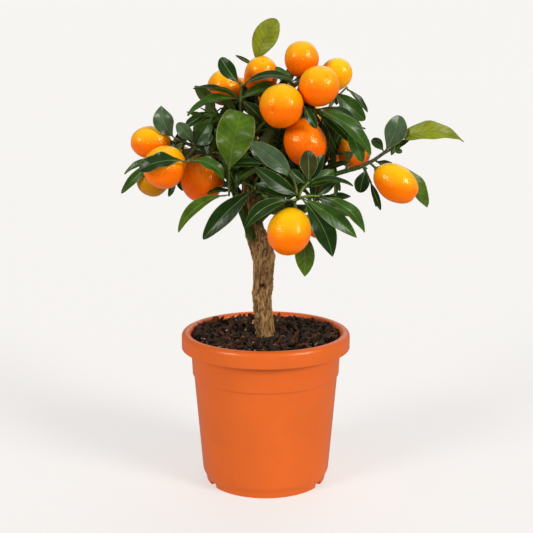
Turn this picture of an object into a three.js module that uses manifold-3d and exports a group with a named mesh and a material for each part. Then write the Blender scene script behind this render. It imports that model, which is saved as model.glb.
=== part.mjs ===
// Nagami kumquat bonsai in its round terracotta-coloured plastic pot.
//
// Millimetres, +Z up, the front of the plant faces -Y. The origin is the centre of the pot's flat underside.
// The pot is a turned shell with a rolled rim, filled with potting mix. A short trunk stands on the mix and
// forks into seven boughs, and the boughs and the trunk carry masses of twigs, leaves and fruit.

import * as THREE from "three";
import { mergeVertices } from "three/addons/utils/BufferGeometryUtils.js";
import Module from "manifold-3d";

const wasm = await Module();
wasm.setup();

const { Vector3 } = THREE;
const RAD = Math.PI / 180;
const UP = new Vector3(0, 0, 1);
const TOWARD_VIEWER = new Vector3(0, -1, 0);

// Clearance between neighbouring solids that touch on the real plant.
const GAP = 0.3;
// A measured gap may fall short of it by rounding, down to this share.
const GAP_SHARE = 0.98;

// The pot, a standard 14 cm size.
const POT = {
  height: 128,
  rimRadius: 70,
  rimCrestRadius: 66.3,
  rimMouthRadius: 62.8,
  rimBottom: 114.3,
  skirtWall: 1.8,
  shoulderRadius: 62.2,
  stepHeight: 92.4,
  stepUpperRadius: 61.2,
  stepLowerRadius: 60,
  heelRadius: 53.2,
  heelHeight: 9,
  footTopRadius: 51,
  footTop: 4.9,
  footRadius: 50.1,
  footWall: 4,
  wall: 1.8,
  floorTop: 7.2,
  bossRadius: 14,
  notchWidth: 9,
  notchHeight: 4.2,
  notchAngles: [-60, 60, 180],
  drainRadius: 4,
  drainPlace: 32,
  segments: 44,
};

const SOIL = { top: 122, topRadius: 61.4 };

// The front view that the plant's places are read in: a square picture 533 px wide, and its eye point.
const VIEW = {
  distance: 838,
  height: 346,
  tilt: 11.08 * RAD,
  focal: 1036,
  centreX: 265.7,
  centreY: 266.5,
};

// The point that shows at pixel (px, py) of the front view and lies this far behind the trunk's plane.
function seen(px, py, depth) {
  const across = (px - VIEW.centreX) / VIEW.focal;
  const up = (VIEW.centreY - py) / VIEW.focal;
  const cos = Math.cos(VIEW.tilt);
  const sin = Math.sin(VIEW.tilt);
  const reach = (depth + VIEW.distance) / (cos + up * sin);
  return new Vector3(across * reach, depth, VIEW.height + (up * cos - sin) * reach);
}

// A seeded generator of numbers from 0 to 1.
function seeded(seed) {
  let state = seed >>> 0;
  return () => {
    state = (state + 0x6d2b79f5) >>> 0;
    let t = state;
    t = Math.imul(t ^ (t >>> 15), t | 1);
    t ^= t + Math.imul(t ^ (t >>> 7), t | 61);
    return ((t ^ (t >>> 14)) >>> 0) / 4294967296;
  };
}

// A direction given as a clock angle in the front view (0 up, 90 right) and a lean towards the viewer.
function heading(clock, lean) {
  const flat = Math.cos(lean * RAD);
  return new Vector3(
    flat * Math.sin(clock * RAD),
    -Math.sin(lean * RAD),
    flat * Math.cos(clock * RAD),
  );
}

function across(vector, axis) {
  return vector.clone().addScaledVector(axis, -vector.dot(axis)).normalize();
}

function geometryFrom(points, faces) {
  return new THREE.BufferGeometry()
    .setAttribute("position", new THREE.Float32BufferAttribute(points.flatMap((p) => p.toArray()), 3))
    .setIndex(faces);
}

function solidOf(geometry) {
  const bare = geometry.clone();
  bare.deleteAttribute("normal");
  bare.deleteAttribute("uv");
  const merged = mergeVertices(bare, 1e-4);
  return new wasm.Manifold(
    new wasm.Mesh({
      numProp: 3,
      vertProperties: merged.attributes.position.array,
      triVerts: new Uint32Array(merged.index.array),
    }),
  );
}

function geometryOf(solid) {
  const mesh = solid.getMesh();
  const flat = new THREE.BufferGeometry()
    .setAttribute("position", new THREE.BufferAttribute(mesh.vertProperties, 3))
    .setIndex(new THREE.BufferAttribute(mesh.triVerts, 1))
    .toNonIndexed();
  flat.computeVertexNormals();
  return flat;
}

// Rings of points joined into one closed tube, with flat ends.
function skin(rings) {
  const sides = rings[0].length;
  const points = rings.flat();
  const faces = [];
  for (let ring = 0; ring < rings.length - 1; ring++) {
    for (let i = 0; i < sides; i++) {
      const a = ring * sides + i;
      const b = ring * sides + ((i + 1) % sides);
      faces.push(a, b, b + sides, a, b + sides, a + sides);
    }
  }
  const last = (rings.length - 1) * sides;
  for (let i = 1; i < sides - 1; i++) {
    faces.push(0, i + 1, i);
    faces.push(last, last + i, last + i + 1);
  }
  return geometryFrom(points, faces);
}

// A tapered tube along a smooth curve. radiusAt gives its radius from 0 at the start to 1 at the end, and
// extra grows it outwards on every side.
function tube(curve, radiusAt, sides, steps, extra = 0) {
  const frames = curve.computeFrenetFrames(steps, false);
  const outset = extra / Math.cos(Math.PI / sides);
  const rings = [];
  for (let step = 0; step <= steps; step++) {
    const t = step / steps;
    const shift = step === 0 ? -extra : step === steps ? extra : 0;
    const centre = curve.getPointAt(t).addScaledVector(frames.tangents[step], shift);
    const radius = radiusAt(t) + outset;
    const ring = [];
    for (let i = 0; i < sides; i++) {
      const turn = (i / sides) * 2 * Math.PI;
      ring.push(
        centre
          .clone()
          .addScaledVector(frames.normals[step], radius * Math.cos(turn))
          .addScaledVector(frames.binormals[step], radius * Math.sin(turn)),
      );
    }
    rings.push(ring);
  }
  return skin(rings);
}

function steady(values) {
  return (t) => {
    const place = t * (values.length - 1);
    const low = Math.min(Math.floor(place), values.length - 2);
    return values[low] + (values[low + 1] - values[low]) * (place - low);
  };
}

// The trunk and boughs: points they pass through, and radii at even steps from foot to tip.
const TRUNK = {
  path: [
    [0, 0, SOIL.top - 5],
    [-1, 0, 134],
    [-3, 0, 154],
    [-2, 0, 172],
    [-2, 0, 190],
    [-6, 0, 204],
    [-10, 1, 218],
    [-13, 1, 234],
    [-14, 0, 250],
    [-12, 0, 268],
  ],
  radii: [8.4, 7.2, 7.1, 7.3, 7.6, 8.3, 8.8, 7, 5.5, 4.9, 4.4, 3.6],
  sides: 12,
  steps: 16,
};

const BOUGHS = {
  bough_left: {
    path: [
      [-5, -1, 200],
      [-11, -5, 209],
      [-18, -6, 226],
      [-23, -8, 239],
      [-30, -10, 259],
      [-34, -9, 272],
    ],
    radii: [3.4, 3, 2.6, 2.3, 2],
  },
  bough_right: {
    path: [[-12, -1, 236], [8, -11, 243], [27, -14, 249], [57, -13, 260], [75, -13, 265]],
    radii: [3, 2.6, 2.2, 1.9, 1.6],
  },
  bough_front: {
    path: [[-9, 0, 216], [2, -15, 229], [13, -28, 236], [21, -38, 240]],
    radii: [2.8, 2.4, 2, 1.7],
  },
  bough_top_left: {
    path: [[-12, 0, 267], [-15, -5, 285], [-19, -11, 303]],
    radii: [2.6, 2.2, 1.6],
  },
  bough_top_right: {
    path: [[-13, 0, 257], [1, 1, 278], [13, 2, 296], [23, 0, 308]],
    radii: [2.8, 2.3, 2, 1.6],
  },
  bough_back_left: {
    path: [[-11, 0, 226], [-24, 18, 244], [-38, 33, 258]],
    radii: [2.8, 2.3, 1.7],
  },
  bough_back_right: {
    path: [[-9, 0, 216], [9, 18, 236], [34, 34, 254]],
    radii: [3, 2.4, 1.7],
  },
};

const BOUGH_SIDES = 7;
const BOUGH_STEPS = 5;

// The masses that the front view shows. A stem runs from its limb through the given points. Each spray sits
// at its own point, and its leaves fan out from there. A leaf is [clock, length, lean, roll, width share,
// arch]: clock and lean as in heading(), roll turns its face from the viewer (0) to the sky (90), and arch
// is how far it bows up. fill is how many more leaves the spray gets behind those, by the spiral rule. A
// fruit is given by the place of its middle, its width and length, and the clock and lean of its stalk.
const FRONT_MASSES = [
  {
    name: "mass_left_end",
    limb: "bough_left",
    stem: [seen(205, 152, -8), seen(188, 144, -2), seen(176, 139, -3)],
    sprays: [
      { at: seen(174, 136, -4), leaves: [[340, 27, 5, 0, 0.6]], fill: 1 },
      {
        at: seen(193, 143, -10),
        leaves: [[325, 17, 15, 0, 0.5], [70, 14, 10, 10, 0.6], [5, 15, 5, 0, 0.5]],
        fill: 2,
      },
      {
        at: seen(187, 162, -38),
        leaves: [[262, 38, -2, 45, 0.42, 0.16], [114, 33, 0, 50, 0.46, 0.24]],
        fill: 0,
      },
      {
        at: seen(158, 158, 8),
        leaves: [[244, 32, 0, 40, 0.26], [228, 46, -4, 30, 0.26, 0.15]],
        fill: 1,
      },
      { at: seen(174, 178, 8), leaves: [[198, 17, 0, 0, 0.35], [160, 17, 0, 0, 0.35]], fill: 2 },
    ],
    fruit: [
      { at: seen(151, 142.3, 2), width: 26, length: 33, stalk: [92, 0] },
      { at: seen(164.7, 167, -24), width: 33, length: 35, stalk: [39, -10] },
      { at: seen(202.4, 178, 3), width: 35, length: 39, stalk: [0, -52] },
      { at: seen(154, 178, 14), width: 27.5, length: 31, stalk: [25, -20] },
    ],
  },
  {
    name: "mass_left_low",
    limb: "bough_left",
    along: 0.72,
    stem: [seen(229, 187, -24)],
    sprays: [
      { at: seen(229, 172, -34), leaves: [[13, 49, 2, 8, 0.62, 0.06]], fill: 0 },
      { at: seen(229, 196, -26), leaves: [[235, 51, 4, 30, 0.27, 0.22]], fill: 0 },
    ],
    fruit: [],
  },
  {
    name: "mass_left_mid",
    limb: "bough_top_left",
    along: 0.4,
    stem: [seen(232, 142, 4), seen(219, 130, 2)],
    sprays: [
      {
        at: seen(213, 110, -6),
        leaves: [[240, 28, 5, 40, 0.34], [212, 30, 5, 20, 0.5], [96, 14, 0, 40, 0.35]],
        fill: 3,
      },
      {
        at: seen(210, 147, 2),
        leaves: [[350, 22, 5, 10, 0.45], [300, 16, 10, 10, 0.55], [20, 22, 0, 10, 0.4]],
        fill: 3,
      },
      {
        at: seen(226, 152, 4),
        leaves: [[340, 27, 5, 10, 0.4], [25, 30, 5, 10, 0.4], [200, 22, 5, 10, 0.35]],
        fill: 3,
      },
    ],
    fruit: [],
  },
  {
    name: "mass_inner_left",
    limb: "trunk",
    along: 0.9,
    stem: [seen(257, 184, -14)],
    sprays: [
      { at: seen(255, 189, -20), leaves: [[226, 58, 6, 12, 0.3]], fill: 1 },
      { at: seen(268, 164, -22), leaves: [[271, 30, 0, 40, 0.34], [330, 26, 0, 20, 0.36]], fill: 3 },
    ],
    fruit: [],
  },
  {
    name: "mass_top_left",
    limb: "bough_top_left",
    stem: [seen(240.6, 99, -16)],
    sprays: [
      {
        at: seen(240.6, 98, -18),
        leaves: [
          [284, 38, 4, 66, 0.26, 0.08],
          [255, 44, 4, 55, 0.28, 0.14],
          [69, 33, 8, 40, 0.3, 0.1],
          [136, 30, 0, 15, 0.4],
          [283, 31, -22, 30, 0.34],
          [28, 20, -12, 20, 0.4],
        ],
        fill: 4,
      },
      {
        at: seen(239.5, 82, -24),
        leaves: [[323, 26, 0, 5, 0.52], [79, 41, 2, 50, 0.26, 0.2]],
        fill: 0,
      },
    ],
    fruit: [
      { at: seen(224.5, 88, 6), width: 28, length: 31, stalk: [227, -60] },
      { at: seen(241, 94, 33), width: 24, length: 27, stalk: [180, 20] },
    ],
  },
  {
    name: "mass_crest",
    limb: "bough_top_left",
    along: 0.6,
    stem: [seen(256, 126, 10), seen(256, 98, 13)],
    sprays: [
      { at: seen(258, 61, 14), leaves: [[27, 40, 3, 5, 0.5, 0.05], [297, 19, 0, 10, 0.32]], fill: 0 },
      { at: seen(262, 112, 16), leaves: [[320, 28, -10, 20, 0.38], [60, 26, -20, 20, 0.38]], fill: 2 },
    ],
    fruit: [{ at: seen(260.8, 76, 2), width: 27, length: 35, stalk: [190, -45] }],
  },
  {
    name: "mass_top_right",
    limb: "bough_top_right",
    stem: [seen(303, 104, -12)],
    sprays: [
      { at: seen(304, 107, -36), leaves: [[149, 19, 6, 10, 0.44]], fill: 0 },
      {
        at: seen(293, 83, -15),
        leaves: [[288, 29, 3, 115, 0.32, 0.05], [317, 22, -20, 30, 0.36]],
        fill: 2,
      },
    ],
    fruit: [
      { at: seen(301.6, 59.3, -2), width: 27, length: 29, stalk: [182, 0] },
      { at: seen(318.9, 86.3, -23), width: 31.5, length: 33, stalk: [215, -55] },
      { at: seen(335, 75, 8), width: 24.5, length: 28.5, stalk: [232, -20] },
      { at: seen(281.6, 105.7, -30), width: 34, length: 35, stalk: [66, -62] },
    ],
  },
  {
    name: "mass_core",
    limb: "bough_top_right",
    along: 0.42,
    stem: [seen(286, 140, 2)],
    sprays: [
      {
        at: seen(284, 148, 0),
        leaves: [[300, 30, 5, 20, 0.36], [330, 27, 5, 20, 0.36], [230, 24, 0, 20, 0.36]],
        fill: 4,
      },
    ],
    fruit: [{ at: seen(304.8, 142.5, -18), width: 33.5, length: 39, stalk: [342, -20] }],
  },
  {
    name: "mass_upper_right",
    limb: "bough_top_right",
    along: 0.93,
    stem: [seen(322, 112, -6), seen(334, 110, -4)],
    sprays: [
      {
        at: seen(315, 109, -24),
        leaves: [[108, 42, -12, 60, 0.3, 0.12], [128, 57, 2, 45, 0.27, 0.22], [131, 41, 12, 20, 0.26, 0.08]],
        fill: 0,
      },
      { at: seen(334, 94, 2), leaves: [[134, 36, -4, 20, 0.44, 0.12]], fill: 3 },
      { at: seen(347, 87, 12), leaves: [[136, 27, -6, 50, 0.28]], fill: 1 },
      { at: seen(322, 117, 2), leaves: [[178, 30, 4, 5, 0.42], [154, 36, -4, 5, 0.42]], fill: 1 },
      { at: seen(346, 124, -26), leaves: [[159, 32, 4, 8, 0.42], [205, 20, -20, 20, 0.36]], fill: 1 },
    ],
    fruit: [{ at: seen(353.5, 151, 5), width: 27, length: 29, stalk: [330, -10] }],
  },
  {
    name: "mass_right_arm",
    limb: "bough_right",
    stem: [seen(374, 160, -12), seen(384, 153, -11), seen(397, 146, -10)],
    sprays: [
      {
        at: seen(384, 151, -10),
        leaves: [[21, 31, 4, 8, 0.54, 0.1], [318, 15, -20, 10, 0.6]],
        fill: 1,
      },
      { at: seen(399, 139, -10), leaves: [[94, 52, 0, 34, 0.3, 0.3], [205, 12, 10, 20, 0.4]], fill: 0 },
      { at: seen(398, 147, -8), leaves: [[62, 15, 0, 20, 0.34], [108, 9, 5, 20, 0.5]], fill: 1 },
      {
        at: seen(377, 162, 5),
        leaves: [[129, 57, -6, 50, 0.38, 0.24], [95, 13, 10, 30, 0.3]],
        fill: 0,
      },
      { at: seen(364, 169, -14), leaves: [[193, 20, 4, 0, 0.64]], fill: 0 },
      { at: seen(371, 183, -8), leaves: [[166, 21, 0, 40, 0.24], [159, 26, 8, 20, 0.24]], fill: 0 },
    ],
    fruit: [{ at: seen(395.7, 183, -22), width: 28.5, length: 38.5, stalk: [305, -12] }],
  },
  {
    name: "mass_front_low",
    limb: "bough_front",
    stem: [seen(300, 197, -44)],
    sprays: [
      {
        at: seen(301, 196, -46),
        leaves: [
          [304, 42, 8, 14, 0.32],
          [286, 35, -6, 20, 0.34],
          [238, 45, 4, 34, 0.28, 0.14],
          [219, 39, -18, 10, 0.36],
          [126, 57, 6, 14, 0.25],
          [153, 52, 6, 4, 0.38],
        ],
        fill: 1,
      },
      { at: seen(294, 179, -46), leaves: [[311, 45, 8, 12, 0.36]], fill: 0 },
      {
        at: seen(309, 182, -48),
        leaves: [
          [358, 25, 4, 0, 0.6],
          [313, 17, 8, 20, 0.5],
          [30, 28, -8, 10, 0.4],
          [61, 28, -14, 14, 0.4],
          [85, 38, 4, 60, 0.26, 0.14],
        ],
        fill: 0,
      },
      {
        at: seen(318, 197, -42),
        leaves: [[53, 18, 4, 10, 0.4], [105, 27, -22, 10, 0.4], [129, 47, 5, 40, 0.3, 0.22]],
        fill: 1,
      },
    ],
    fruit: [{ at: seen(289.3, 231.3, -50), width: 34, length: 38, stalk: [22, -28] }],
  },
  {
    name: "mass_low_back",
    limb: "bough_back_right",
    along: 0.3,
    stem: [seen(302, 206, 2), seen(314, 207, -4)],
    sprays: [
      { at: seen(304, 224, -26), leaves: [[181, 43, 4, 4, 0.46]], fill: 0 },
      { at: seen(322, 204, -2), leaves: [[110, 30, -10, 30, 0.34], [75, 28, -10, 40, 0.34]], fill: 3 },
    ],
    fruit: [{ at: seen(322, 226, -6), width: 25, length: 27.5, stalk: [350, 0] }],
  },
  {
    name: "mass_inner_right",
    limb: "bough_right",
    along: 0.45,
    stem: [seen(318, 172, -8)],
    sprays: [
      { at: seen(322, 170, -6), leaves: [[70, 24, 0, 50, 0.3], [20, 22, 0, 10, 0.36]], fill: 4 },
      { at: seen(329, 155, 0), leaves: [[83, 18, 8, 75, 0.25], [150, 16, 0, 10, 0.4]], fill: 1 },
    ],
    fruit: [{ at: seen(321, 148, 22), width: 25, length: 28, stalk: [200, 30] }],
  },
];

// The masses at the back, each grown by the spiral rule about its heart inside its own reach. Counts are
// [sprays, leaves on each], and a fruit is [x, y, z, width].
const BACK_MASSES = [
  {
    name: "mass_back_left",
    limb: "bough_back_left",
    heart: [-60, 46, 268],
    reach: [44, 34, 38],
    counts: [4, 6],
    fruit: [[-74, 66, 260, 29], [-46, 60, 286, 27]],
    seed: 11,
  },
  {
    name: "mass_back_right",
    limb: "bough_back_right",
    heart: [58, 50, 280],
    reach: [38, 32, 28],
    counts: [4, 6],
    fruit: [[66, 64, 277, 28], [40, 70, 296, 26]],
    seed: 23,
  },
  {
    name: "mass_back_top",
    limb: "trunk",
    along: 0.97,
    heart: [6, 46, 310],
    reach: [42, 30, 32],
    counts: [4, 6],
    fruit: [[-2, 62, 312, 27]],
    seed: 31,
  },
  {
    name: "mass_back_mid",
    limb: "bough_back_left",
    along: 0.8,
    heart: [-8, 64, 274],
    reach: [36, 32, 34],
    counts: [4, 6],
    fruit: [[-16, 84, 268, 31], [14, 86, 286, 27]],
    seed: 47,
  },
  {
    name: "mass_back_low",
    limb: "bough_back_right",
    along: 0.75,
    heart: [16, 56, 250],
    reach: [42, 34, 22],
    counts: [3, 7],
    fruit: [[22, 78, 242, 29]],
    seed: 59,
  },
];

const TWIG = { root: 1.6, tip: 1.3, stalk: 1.1, sides: 3, straight: 16, bow: 2, lag: 0.25, leafSpacing: 2 };
const LEAF = {
  keel: 0.5,
  sunk: 0.5,
  small: 25,
  roundShare: 0.5,
  fold: 0.2,
  widthShare: 0.36,
  roll: 35,
  arch: 0.08,
};
const SPIRAL = { turn: 137.5, shortest: 24, longest: 40, firstAngle: 84, lastAngle: 36 };

// Where a leaf's blade is measured across, as shares of its length, and its half width there.
const BROAD_OUTLINE = [
  { along: 0.32, half: 1 },
  { along: 0.68, half: 0.78 },
];
const ROUND_OUTLINE = [
  { along: 0.3, half: 0.78 },
  { along: 0.74, half: 1 },
];
const PLAIN_OUTLINE = [{ along: 0.46, half: 1 }];

// The middle of a leaf's blade at a share of its length.
function ribPoint(leaf, share) {
  return leaf.foot
    .clone()
    .addScaledVector(leaf.way, leaf.length * share)
    .addScaledVector(leaf.face, leaf.length * leaf.arch * 4 * share * (1 - share));
}

// A leaf blade: a point for its foot and its tip, and a folded diamond across the rib at each station.
function leafSolid(leaf, outline) {
  const side = new Vector3().crossVectors(leaf.way, leaf.face).normalize();
  const half = (leaf.length * leaf.widthShare) / 2;
  const points = [leaf.foot.clone().addScaledVector(leaf.way, -LEAF.sunk)];
  for (const station of outline) {
    const rib = ribPoint(leaf, station.along);
    const reach = half * station.half;
    const lift = reach * LEAF.fold;
    points.push(rib.clone().addScaledVector(leaf.face, LEAF.keel));
    points.push(rib.clone().addScaledVector(side, -reach).addScaledVector(leaf.face, lift));
    points.push(rib.clone().addScaledVector(leaf.face, -LEAF.keel));
    points.push(rib.clone().addScaledVector(side, reach).addScaledVector(leaf.face, lift));
  }
  points.push(ribPoint(leaf, 1));
  const tip = points.length - 1;
  const faces = [];
  for (let i = 0; i < 4; i++) {
    const next = (i + 1) % 4;
    faces.push(0, 1 + i, 1 + next);
    for (let ring = 1; ring + 4 < tip; ring += 4) {
      faces.push(ring + i, ring + 4 + i, ring + 4 + next, ring + i, ring + 4 + next, ring + next);
    }
    faces.push(tip - 4 + i, tip, tip - 4 + next);
  }
  return solidOf(geometryFrom(points, faces));
}

function fruitSolid(fruit) {
  const ball = new THREE.IcosahedronGeometry(1, 1);
  const turn = new THREE.Quaternion().setFromUnitVectors(UP, fruit.stalkWay);
  ball.scale(fruit.width / 2, fruit.width / 2, fruit.length / 2);
  ball.applyQuaternion(turn);
  ball.translate(fruit.at.x, fruit.at.y, fruit.at.z);
  return solidOf(ball);
}

// The points that a twig runs through: a long one is bowed at its middle.
function twigLine(from, to, bow) {
  return from.distanceTo(to) < TWIG.straight ? [from, to] : [from, from.clone().lerp(to, 0.5).add(bow), to];
}

// A curve made of straight lines.
function lineCurve(points) {
  const curve = new THREE.CurvePath();
  for (let i = 1; i < points.length; i++) curve.add(new THREE.LineCurve3(points[i - 1], points[i]));
  return curve;
}

function leafFromRow(spray, row) {
  const [clock, length, lean, roll = LEAF.roll, widthShare = LEAF.widthShare, arch = LEAF.arch] = row;
  const way = heading(clock, lean);
  const face = TOWARD_VIEWER.clone()
    .multiplyScalar(Math.cos(roll * RAD))
    .addScaledVector(UP, Math.sin(roll * RAD));
  return { foot: spray.at, way, face: across(face, way), length, widthShare, arch };
}

// Leaves set round an axis, each a golden turn on from the last and closer to the axis.
function spiral(foot, axis, count, random) {
  const first = across(Math.abs(axis.z) < 0.9 ? UP : TOWARD_VIEWER, axis);
  const second = new Vector3().crossVectors(axis, first);
  const start = random() * 360;
  const leaves = [];
  for (let i = 0; i < count; i++) {
    const turn = (start + i * SPIRAL.turn) * RAD;
    const share = count > 1 ? i / (count - 1) : 0.5;
    const open = (SPIRAL.firstAngle + (SPIRAL.lastAngle - SPIRAL.firstAngle) * share) * RAD;
    const way = axis
      .clone()
      .multiplyScalar(Math.cos(open))
      .addScaledVector(first, Math.sin(open) * Math.cos(turn))
      .addScaledVector(second, Math.sin(open) * Math.sin(turn));
    const length = SPIRAL.shortest + (SPIRAL.longest - SPIRAL.shortest) * random();
    const face = across(axis.clone().multiplyScalar(0.6).add(UP), way);
    leaves.push({ foot, way, face, length, widthShare: LEAF.widthShare, arch: LEAF.arch, plain: true });
  }
  return leaves;
}

function ovalDistance(place, heart, reach) {
  const from = place.clone().sub(heart);
  return Math.hypot(from.x / reach.x, from.y / reach.y, from.z / reach.z);
}

// A back mass as the same kind of record as a front one: sprays spread over its reach by the golden turn.
function grownMass(row) {
  const random = seeded(row.seed);
  const heart = new Vector3(...row.heart);
  const reach = new Vector3(...row.reach);
  const [sprayCount, leafCount] = row.counts;
  const outward = new Vector3(heart.x, heart.y, 0).normalize();
  const spread = (i, count, share) => {
    const turn = (i * SPIRAL.turn + row.seed) * RAD;
    const lift = 1 - (2 * (i + 0.5)) / count;
    const flat = Math.sqrt(1 - lift * lift);
    const way = new Vector3(flat * Math.cos(turn), flat * Math.sin(turn), lift);
    return way.multiply(reach).multiplyScalar(share).add(heart);
  };
  const sprays = [];
  for (let i = 0; i < sprayCount; i++) {
    const at = spread(i, sprayCount, 0.5);
    const axis = at.clone().sub(heart).normalize().add(outward).add(new Vector3(0, 0, 0.3)).normalize();
    sprays.push({ at, leaves: spiral(at, axis, leafCount, random) });
  }
  const fruit = row.fruit.map(([x, y, z, width]) => ({
    at: new Vector3(x, y, z),
    width,
    length: width * 1.13,
    stalk: [40 * random() - 20, 0],
  }));
  return { ...row, stem: [heart], sprays, fruit, inside: { heart, reach } };
}

// Every piece grown so far, for keeping the masses clear of the limbs and of each other.
const grown = [];

function boxesApart(a, b) {
  return [0, 1, 2].some((i) => a.min[i] > b.max[i] + GAP || b.min[i] > a.max[i] + GAP);
}

function isClear(solid, others) {
  const box = solid.boundingBox();
  const least = GAP * GAP_SHARE;
  return others.every((other) => boxesApart(box, other.box) || solid.minGap(other.solid, 2 * GAP) >= least);
}

function keep(solid, owner) {
  grown.push({ solid, owner, box: solid.boundingBox() });
}

function clearOfOthers(solid, owner) {
  return isClear(solid, grown.filter((piece) => piece.owner !== owner));
}

// Everything below the trunk's flat cut, which stands just clear of the soil.
const GROUND = solidOf(new THREE.BoxGeometry(200, 200, 60).translate(0, 0, SOIL.top + GAP - 30));

function limbCurve(limb) {
  return new THREE.CatmullRomCurve3(limb.path.map((p) => new Vector3(...p)));
}

function limbSolid(limb, extra = 0) {
  const whole = solidOf(
    tube(limbCurve(limb), steady(limb.radii), limb.sides ?? BOUGH_SIDES, limb.steps ?? BOUGH_STEPS, extra),
  );
  return whole.subtract(GROUND);
}

function ballHolds(fruit, place) {
  const from = place.clone().sub(fruit.at);
  const along = from.dot(fruit.stalkWay);
  const out = from.addScaledVector(fruit.stalkWay, -along).length();
  return Math.hypot(along / (fruit.length / 2 + GAP), out / (fruit.width / 2 + GAP)) < 1;
}

function meetsFruit(leaf, fruits) {
  const places = [0.3, 0.5, 0.7, 0.85, 1].map((share) => ribPoint(leaf, share));
  return places.some((place) => fruits.some((fruit) => ballHolds(fruit, place)));
}

// The same leaf turned towards the viewer by so many degrees, or away from the viewer.
function leaned(leaf, degrees) {
  const axis = new Vector3().crossVectors(leaf.way, TOWARD_VIEWER).normalize();
  const way = leaf.way.clone().applyAxisAngle(axis, degrees * RAD);
  const face = leaf.face.clone().applyAxisAngle(axis, degrees * RAD);
  return { ...leaf, way, face };
}

// The outer part of a leaf, which keeps clear of its own mass as well.
function outerPart(leaf) {
  const foot = ribPoint(leaf, 0.35);
  return leafSolid({ ...leaf, foot, length: leaf.length * 0.65 }, PLAIN_OUTLINE);
}

function outlineOf(leaf) {
  if (leaf.plain || leaf.length < LEAF.small) return PLAIN_OUTLINE;
  return leaf.widthShare > LEAF.roundShare ? ROUND_OUTLINE : BROAD_OUTLINE;
}

const SETTLING = [0, 9, -9, 18, -18, 27, -27];

// Adds the first version of a leaf that stands clear of the other masses, limbs and fruit, if there is one.
function growLeaf(mass, leaf, fruits) {
  for (const shift of SETTLING) {
    const turned = leaned(leaf, shift);
    if (meetsFruit(turned, fruits)) continue;
    const solid = leafSolid(turned, outlineOf(leaf));
    if (!clearOfOthers(solid, mass.name)) continue;
    if (leaf.plain && !isClear(outerPart(turned), grown)) continue;
    keep(solid, mass.name);
    return;
  }
}

// The place on the stem that a twig to this point leaves from, a little nearer the root than the nearest.
function twigRoot(mass, place) {
  const points = mass.stemPoints;
  const distances = points.map((point) => point.distanceTo(place));
  const nearest = distances.indexOf(Math.min(...distances));
  const lag = Math.round((TWIG.lag * distances[nearest]) / mass.stemSpacing);
  return points[Math.max(nearest - lag, 0)];
}

// Stems, fruit with their stalks, and twigs come first, because the leaves give way to them.
function growWood(mass, limbs) {
  const random = seeded(Math.round(mass.stem[0].length() * 13));
  const bow = () => new Vector3(random() - 0.5, random() - 0.5, random()).multiplyScalar(TWIG.bow);
  const growTwig = (from, to, radius) => {
    const line = twigLine(from, to, bow());
    const twig = solidOf(tube(lineCurve(line), () => radius, TWIG.sides, line.length - 1));
    if (clearOfOthers(twig, mass.name)) keep(twig, mass.name);
    return line.at(-2);
  };
  const limb = limbs[mass.limb];
  const start = limb.curve.getPointAt(mass.along ?? 1);
  const curve = new THREE.CatmullRomCurve3([start, start.clone().lerp(mass.stem[0], 0.5), ...mass.stem]);
  const whole = solidOf(tube(curve, steady([TWIG.root, TWIG.tip]), TWIG.sides, 2 + mass.stem.length));
  const stem = largest(Object.values(limbs).reduce((rest, other) => rest.subtract(other.wide), whole));
  keep(stem, mass.name);
  const count = 24;
  mass.stemPoints = curve.getSpacedPoints(count).filter((p) => p.distanceTo(start) > limb.clearRadius);
  mass.stemSpacing = curve.getLength() / count;
  for (const spray of mass.sprays) {
    spray.heel = growTwig(twigRoot(mass, spray.at), spray.at, TWIG.tip);
  }
  for (const fruit of mass.fruit) {
    const ball = fruitSolid(fruit);
    keep(ball, mass.name);
    const tip = fruit.at.clone().addScaledVector(fruit.stalkWay, fruit.length * 0.44);
    growTwig(twigRoot(mass, tip), tip, TWIG.stalk);
  }
}

// The mass's leaves as records: the ones that the front view shows, then the fill behind them. Their feet
// stand one behind the other along the last part of the twig.
function leavesOf(mass) {
  const random = seeded(Math.round(mass.stem[0].length() * 100));
  const shown = [];
  const fill = [];
  for (const spray of mass.sprays) {
    const away = new Vector3(spray.at.x / 80, 1, 0.25).normalize();
    const rows = mass.inside ? spray.leaves : spray.leaves.map((row) => leafFromRow(spray, row));
    const extra = mass.inside ? [] : spiral(spray.at, away, spray.fill, random);
    const run = spray.at.distanceTo(spray.heel);
    [...rows, ...extra].forEach((leaf, i) => {
      const back = Math.min((1 + i * TWIG.leafSpacing) / run, 0.8);
      leaf.foot = spray.at.clone().lerp(spray.heel, back);
    });
    shown.push(...rows);
    fill.push(...extra);
  }
  return [...shown, ...fill];
}

function growLeaves(mass, fruits) {
  for (const leaf of leavesOf(mass)) {
    const tip = ribPoint(leaf, 1);
    const inReach = !mass.inside || ovalDistance(tip, mass.inside.heart, mass.inside.reach) <= 1.25;
    if (inReach) growLeaf(mass, leaf, fruits);
  }
}

function largest(solid) {
  return solid.decompose().reduce((a, b) => (b.volume() > a.volume() ? b : a));
}

// Profiles are [radius, height] pairs from the axis round to the axis again.
function turned(profile) {
  const lathe = new THREE.LatheGeometry(profile.map(([r, z]) => new THREE.Vector2(r, z)), POT.segments);
  lathe.rotateX(Math.PI / 2);
  return solidOf(lathe);
}

function arc(centreR, centreZ, radius, fromDegrees, toDegrees, steps) {
  const points = [];
  for (let i = 0; i <= steps; i++) {
    const turn = (fromDegrees + ((toDegrees - fromDegrees) * i) / steps) * RAD;
    points.push([centreR + radius * Math.cos(turn), centreZ + radius * Math.sin(turn)]);
  }
  return points;
}

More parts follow.
